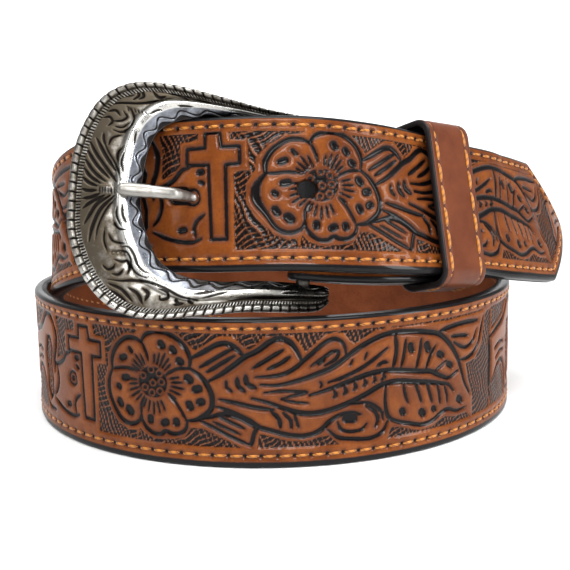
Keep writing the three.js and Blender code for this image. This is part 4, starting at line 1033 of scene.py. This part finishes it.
z = np.choose(zones_at, [
    0.9 + 1.45 * crown - 0.6 * ease(0.16, -0.12, bead),
    0.85 + 0.25 * ribs,
    1.15 + 0.3 * np.sin(math.pi * part) * full - 0.42 * ease(0.12, -0.22, engraved),
    1.3 + 1.2 * np.sin(math.pi * np.minimum(0.5, part)) * full
    - 0.9 * np.maximum(0, part - 0.5) - 0.3 * ease(0.1, -0.2, engraved),
    1.8 - 1.6 * part**1.2 - 0.3 * ease(0.12, -0.18, bevel_cut),
])
knob = np.exp(-(((x + 50.1) / 1.7) ** 2 + (y + 0.6) ** 2) ** 2)
z = z + 0.9 * knob * ((zone == 2) | (zone == 3))
line_cut = np.choose(zones_at, [bead, (ribs - 0.72) * 0.5, engraved, engraved, bevel_cut])
# how tarnished each zone is; the rope's darker sides are painted shade on its round crown
wear = np.choose(zone, [
    0.48 + 0.42 * (2 * part - 1) ** 2, 0.6, 1.0 - 0.5 * part, np.maximum(0, 0.5 - 1.2 * part), 0.4,
])
wear = wear + 0.34 * (zone == 3) * ease(-12, -19, y) * ease(-44, -34, x)
wear = wear * (1 - 0.6 * knob) * (1 - 0.35 * ease(-12, -26, y))
wear = wear + 0.35 * np.exp(-np.maximum(engraved, 0) / 0.45) * (zone == 2)
# the walls outside and inside: how far in from the edge, and how high
walls_out = np.array([(0.5, -1.9), (0.12, -1.6), (0.0, -1.0), (0.0, 0.3), (0.03, 0.8)])
walls_in = np.array([(0.0, -0.1), (0.04, -0.9), (0.25, -1.6), (0.6, -1.9)])
side_out = outer_line[:, None] + way[:, None] * (walls_out[:, 0] * full)[..., None]
side_in = inner_line[:, None] - way[:, None] * (walls_in[:, 0] * full)[..., None]
flat = np.concatenate([side_out, flat, side_in], 1)
x, y = flat[..., 0], flat[..., 1]
z = np.hstack([np.tile(walls_out[:, 1], (rings, 1)), z, np.tile(walls_in[:, 1], (rings, 1))])
outside, inside = np.ones((rings, len(walls_out))), np.ones((rings, len(walls_in)))
line_cut = np.hstack([REACH * outside, line_cut, REACH * inside])
wear = np.hstack([0.3 * outside, wear, 0.8 * inside])
bevel_and_inner_wall = np.hstack([0 * outside, zones_at == 4, inside])
# the arms' ends by the bar are darkened nearly black, and the lower arm darkens toward the bar; painted shade
# darkens the top arm and the lower arm's inner bevel toward the bar
stain = ease(-6, 4, x) + 0.5 * ease(-42, -18, x) * (y > 10) + 0.45 * ease(-24, -8, x) * (y < -21.5)
stain = stain + 0.8 * bevel_and_inner_wall * ease(-36, -25, x) * (y < 0)


def on_buckle(x, y, z):
    """Places from millimetres along, up and out of the bar's middle."""
    return (
        BUCKLE_MIDDLE + BUCKLE_ALONG * np.asarray(x)[..., None] + BUCKLE_UP * np.asarray(y)[..., None]
        + BUCKLE_OUT * np.asarray(z)[..., None]
    )


silver, tree, shader = new_material("antique_silver", Metallic=1.0)
read = attributes(tree, "cut", "wear", "stain", "bevel")
place = node(tree, "ShaderNodeTexCoord"), 3
cloud = noise(tree, 420, 4, 0.6, place)
fine = noise(tree, 2600, 4, 0.6, place)
patchy = maths(tree, "MULTIPLY", maths(tree, "SUBTRACT", cloud, 0.5), 1.1)
tarnish_and_shade_mix = maths(tree, "ADD", read["wear"], patchy)
tarnish_and_shade_mix = fade(tree, maths(tree, "MULTIPLY", tarnish_and_shade_mix, fade(tree, read["wear"], 0, 0.1)), 0.05, 0.85)
# tarnish, and the painted shade on the rope's sides, darken the silver
metal = blend_colour(tree, tarnish_and_shade_mix, SILVER, TARNISH_AND_SHADE)
metal = blend_colour(tree, read["bevel"], metal, (0.5, 0.55, 0.67), "MULTIPLY")
metal = stain_and_shade(tree, metal, read["cut"], -0.1, 0.1, (0.012, 0.01, 0.009), 0.97)
# painted shade on the top arm and the lower arm's inner bevel, with the other darkening, turns the metal
# nearly black
metal = blend_colour(tree, fade(tree, read["stain"], 0.0, 1.0, 0, 0.94), metal, (0.02, 0.017, 0.014))
rough = maths(tree, "ADD", maths(tree, "MULTIPLY", tarnish_and_shade_mix, 0.2), fade(tree, cloud, 0.3, 0.7, 0.22, 0.36))
finish(tree, shader, metal, rough, 0.16, 0.0002, fine)

points = on_buckle(x, y, bow_at(x) + z)
numbers = {"cut": line_cut, "wear": wear, "stain": stain, "bevel": bevel_and_inner_wall}
buckle = millimetres("buckle", points, tube_faces(*points.shape[:2]), numbers)
buckle.data.set_sharp_from_angle(angle=math.radians(70))
buckle.data.materials.append(silver)
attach(buckle, "root")
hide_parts("buckle_frame")

BAR_RADIUS = 1.8
angles = np.linspace(0, 2 * math.pi, 25)[:-1]
bar_y = np.linspace(-20.6, 20.6, 30)[:, None] + 0 * angles
points = on_buckle(BAR_RADIUS * np.cos(angles) + 0 * bar_y, bar_y, BAR_RADIUS * np.sin(angles) + 0 * bar_y)
clean = np.ones_like(bar_y)
bar = millimetres("buckle_bar", points, [quad[::-1] for quad in tube_faces(*bar_y.shape)], {
    "cut": REACH * clean, "wear": 0.5 * clean, "stain": 0.8 * clean, "bevel": 0 * clean,
})
bar.data.materials.append(silver)
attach(bar, "root")

# The prong
# A polished rod of silver that turns on the bar by a loop. It comes up through the strap's
# hole and rests its blunt end in a dip of the buckle's bright band.
PRONG_DROP = 0.6
# from the bar: along, out, and the rod's half width
PRONG_LINE = np.array([
    (-2.6, 0, 0.95), (-10, 0.3, 0.95), (-18, 0.8, 0.95), (-25.4, 1.2, 1.0), (-29.2, 2.2, 1.15),
    (-31.2, 3.9, 1.35), (-32.8, 5.4, 1.48), (-34.6, 6.4, 1.52), (-39.2, 7.0, 1.54), (-39.8, 7.1, 1.66),
    (-44.4, 7.2, 1.66), (-46.4, 7.1, 1.4), (-47.1, 7.0, 0.95), (-47.5, 6.9, 0.25),
])
rod = smooth_line(PRONG_LINE[:, :2], 0.25)
sizes = np.interp(rod[:, 0], PRONG_LINE[::-1, 0], PRONG_LINE[::-1, 2])
way = unit(np.gradient(rod, axis=0))
angles = np.linspace(0, 2 * math.pi, 33)[:-1]
ry = np.sign(np.cos(angles)) * np.abs(np.cos(angles)) ** 0.8
rz = np.sign(np.sin(angles)) * np.abs(np.sin(angles)) ** 0.8
thick = 0.95 * np.minimum(sizes, 1.2)[:, None] * rz
rod_points = on_buckle(
    rod[:, :1] + way[:, 1:] * thick, sizes[:, None] * ry - PRONG_DROP, rod[:, 1:] - way[:, :1] * thick
)
# the loop of the prong, closed round the bar
eye_angle = np.linspace(0, 2 * math.pi, 49)[:-1]
section = [(-1.8, 2.1), (-1.8, 3.2), (-1.5, 3.4), (1.5, 3.4), (1.8, 3.2), (1.8, 2.1)]
eye = np.array([[(r * math.cos(a), y, r * math.sin(a)) for y, r in section] for a in eye_angle])
eye_points = on_buckle(*np.moveaxis(eye, 2, 0))
faces = [[v + rod_points[..., 0].size for v in f] for f in loop_faces(48, 6)]
points = np.vstack([rod_points.reshape(-1, 3), eye_points.reshape(-1, 3)])
prong = millimetres("prong", points, tube_faces(len(rod), 32) + faces)
prong.data.set_sharp_from_angle(angle=math.radians(50))
polish, tree, shader = new_material("polished_prong", Metallic=1.0)
place = node(tree, "ShaderNodeTexCoord"), 3
cloud = noise(tree, 260, 4, 0.6, place)
scratches = noise(tree, 1800, 5, 0.7, place)
metal = blend_colour(tree, fade(tree, cloud, 0.3, 0.75), (0.34, 0.33, 0.31), (0.22, 0.21, 0.19))
finish(tree, shader, metal, fade(tree, scratches, 0.3, 0.7, 0.33, 0.45), 0.1, 0.0002, cloud)
prong.data.materials.append(polish)
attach(prong, "root")
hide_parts("buckle_prong")

# The floor, the light and the camera
# The belt stands on a pale floor under soft, even studio light, seen from its front.
floor_paint, tree, shader = new_material("pale_floor", Roughness=0.7, Specular_IOR_Level=0.15)
grain = noise(tree, 40, 3, 0.5, (node(tree, "ShaderNodeTexCoord"), 3))
pale = blend_colour(tree, fade(tree, grain, 0.3, 0.7), (0.86, 0.86, 0.86), (0.88, 0.88, 0.88))
tree.links.new(pale[0].outputs[pale[1]], shader.inputs["Base Color"])
sweep = [(-3, 0), (-1, 0), (0.6, 0), (1.0, 0.02), (1.4, 0.12), (1.7, 0.4), (1.8, 0.9), (1.85, 2.2)]
points = [(x, y, z) for y, z in sweep for x in (-3.0, 3.0)]
faces = [(2 * i, 2 * i + 1, 2 * i + 3, 2 * i + 2) for i in range(len(sweep) - 1)]
mesh = bpy.data.meshes.new("floor")
mesh.from_pydata(points, [], faces)
mesh.polygons.foreach_set("use_smooth", [True] * len(mesh.polygons))
floor = bpy.data.objects.new("floor", mesh)
bpy.context.scene.collection.objects.link(floor)
floor.data.materials.append(floor_paint)

world = bpy.data.worlds.new("studio")
world.use_nodes = True
# bright overhead and behind, with a dark band low in front for the metal to reflect
tree = world.node_tree
ways = node(tree, "ShaderNodeSeparateXYZ")
tree.links.new(node(tree, "ShaderNodeTexCoord").outputs["Generated"], ways.inputs[0])
height_share = fade(tree, (ways, 2), 0.3, 0.95, 0.0, 1.0)
behind = fade(tree, (ways, 1), 0.0, 0.6, 0.0, 1.0)
glow = maths(tree, "MAXIMUM", height_share, behind)
sky = blend_colour(tree, glow, (0.1, 0.103, 0.11), (1.0, 1.0, 1.0))
tree.links.new(sky[0].outputs[sky[1]], tree.nodes["Background"].inputs["Color"])
tree.nodes["Background"].inputs["Strength"].default_value = 0.95
bpy.context.scene.world = world


def soft_box(name, place, aim, size, power):
    lamp = bpy.data.lights.new(name, "AREA")
    lamp.shape, lamp.size, lamp.size_y, lamp.energy = "RECTANGLE", size[0], size[1], power
    made = bpy.data.objects.new(name, lamp)
    made.location = place
    made.rotation_euler = (Vector(aim) - Vector(place)).to_track_quat("-Z", "Y").to_euler()
    bpy.context.scene.collection.objects.link(made)


soft_box("light_above", (0.05, -0.35, 0.85), (0, 0, 0.03), (0.8, 0.5), 9)
soft_box("light_left", (-0.85, -0.5, 0.36), (0, 0, 0.05), (0.3, 0.5), 1.5)
soft_box("light_right", (0.85, -0.42, 0.34), (0, 0, 0.05), (0.25, 0.5), 5)
soft_box("light_front", (0.08, -1.0, 0.46), (0, 0, 0.05), (0.5, 0.16), 5.2)
soft_box("light_backdrop", (0, 1.0, 0.9), (0, 1.7, 0.3), (1.6, 0.3), 16)

# The camera looks slightly down from the front, turned one degree as in the photograph.
FOCAL_PIXELS, PICTURE_PIXELS = 916.5, 570
pitch, roll = math.radians(9.16), -0.0175
right, forward = Vector((1, 0, 0)), Vector((0, math.cos(pitch), -math.sin(pitch)))
upward = right.cross(forward)
camera_right = right * math.cos(roll) + upward * math.sin(roll)
camera_up = upward * math.cos(roll) - right * math.sin(roll)
turned = Matrix((camera_right, camera_up, -forward)).transposed().to_4x4()
lens = bpy.data.cameras.new("camera")
lens.sensor_width, lens.lens = 36.0, FOCAL_PIXELS / PICTURE_PIXELS * 36
camera = bpy.data.objects.new("camera", lens)
camera.matrix_world = Matrix.Translation(
    Vector(COIL_CENTRE / 1000) + Vector((3.94, -293.19, 81.84)) / 1000
) @ turned
bpy.context.scene.collection.objects.link(camera)
bpy.context.scene.camera = camera
bpy.context.scene.view_settings.view_transform = "Standard"
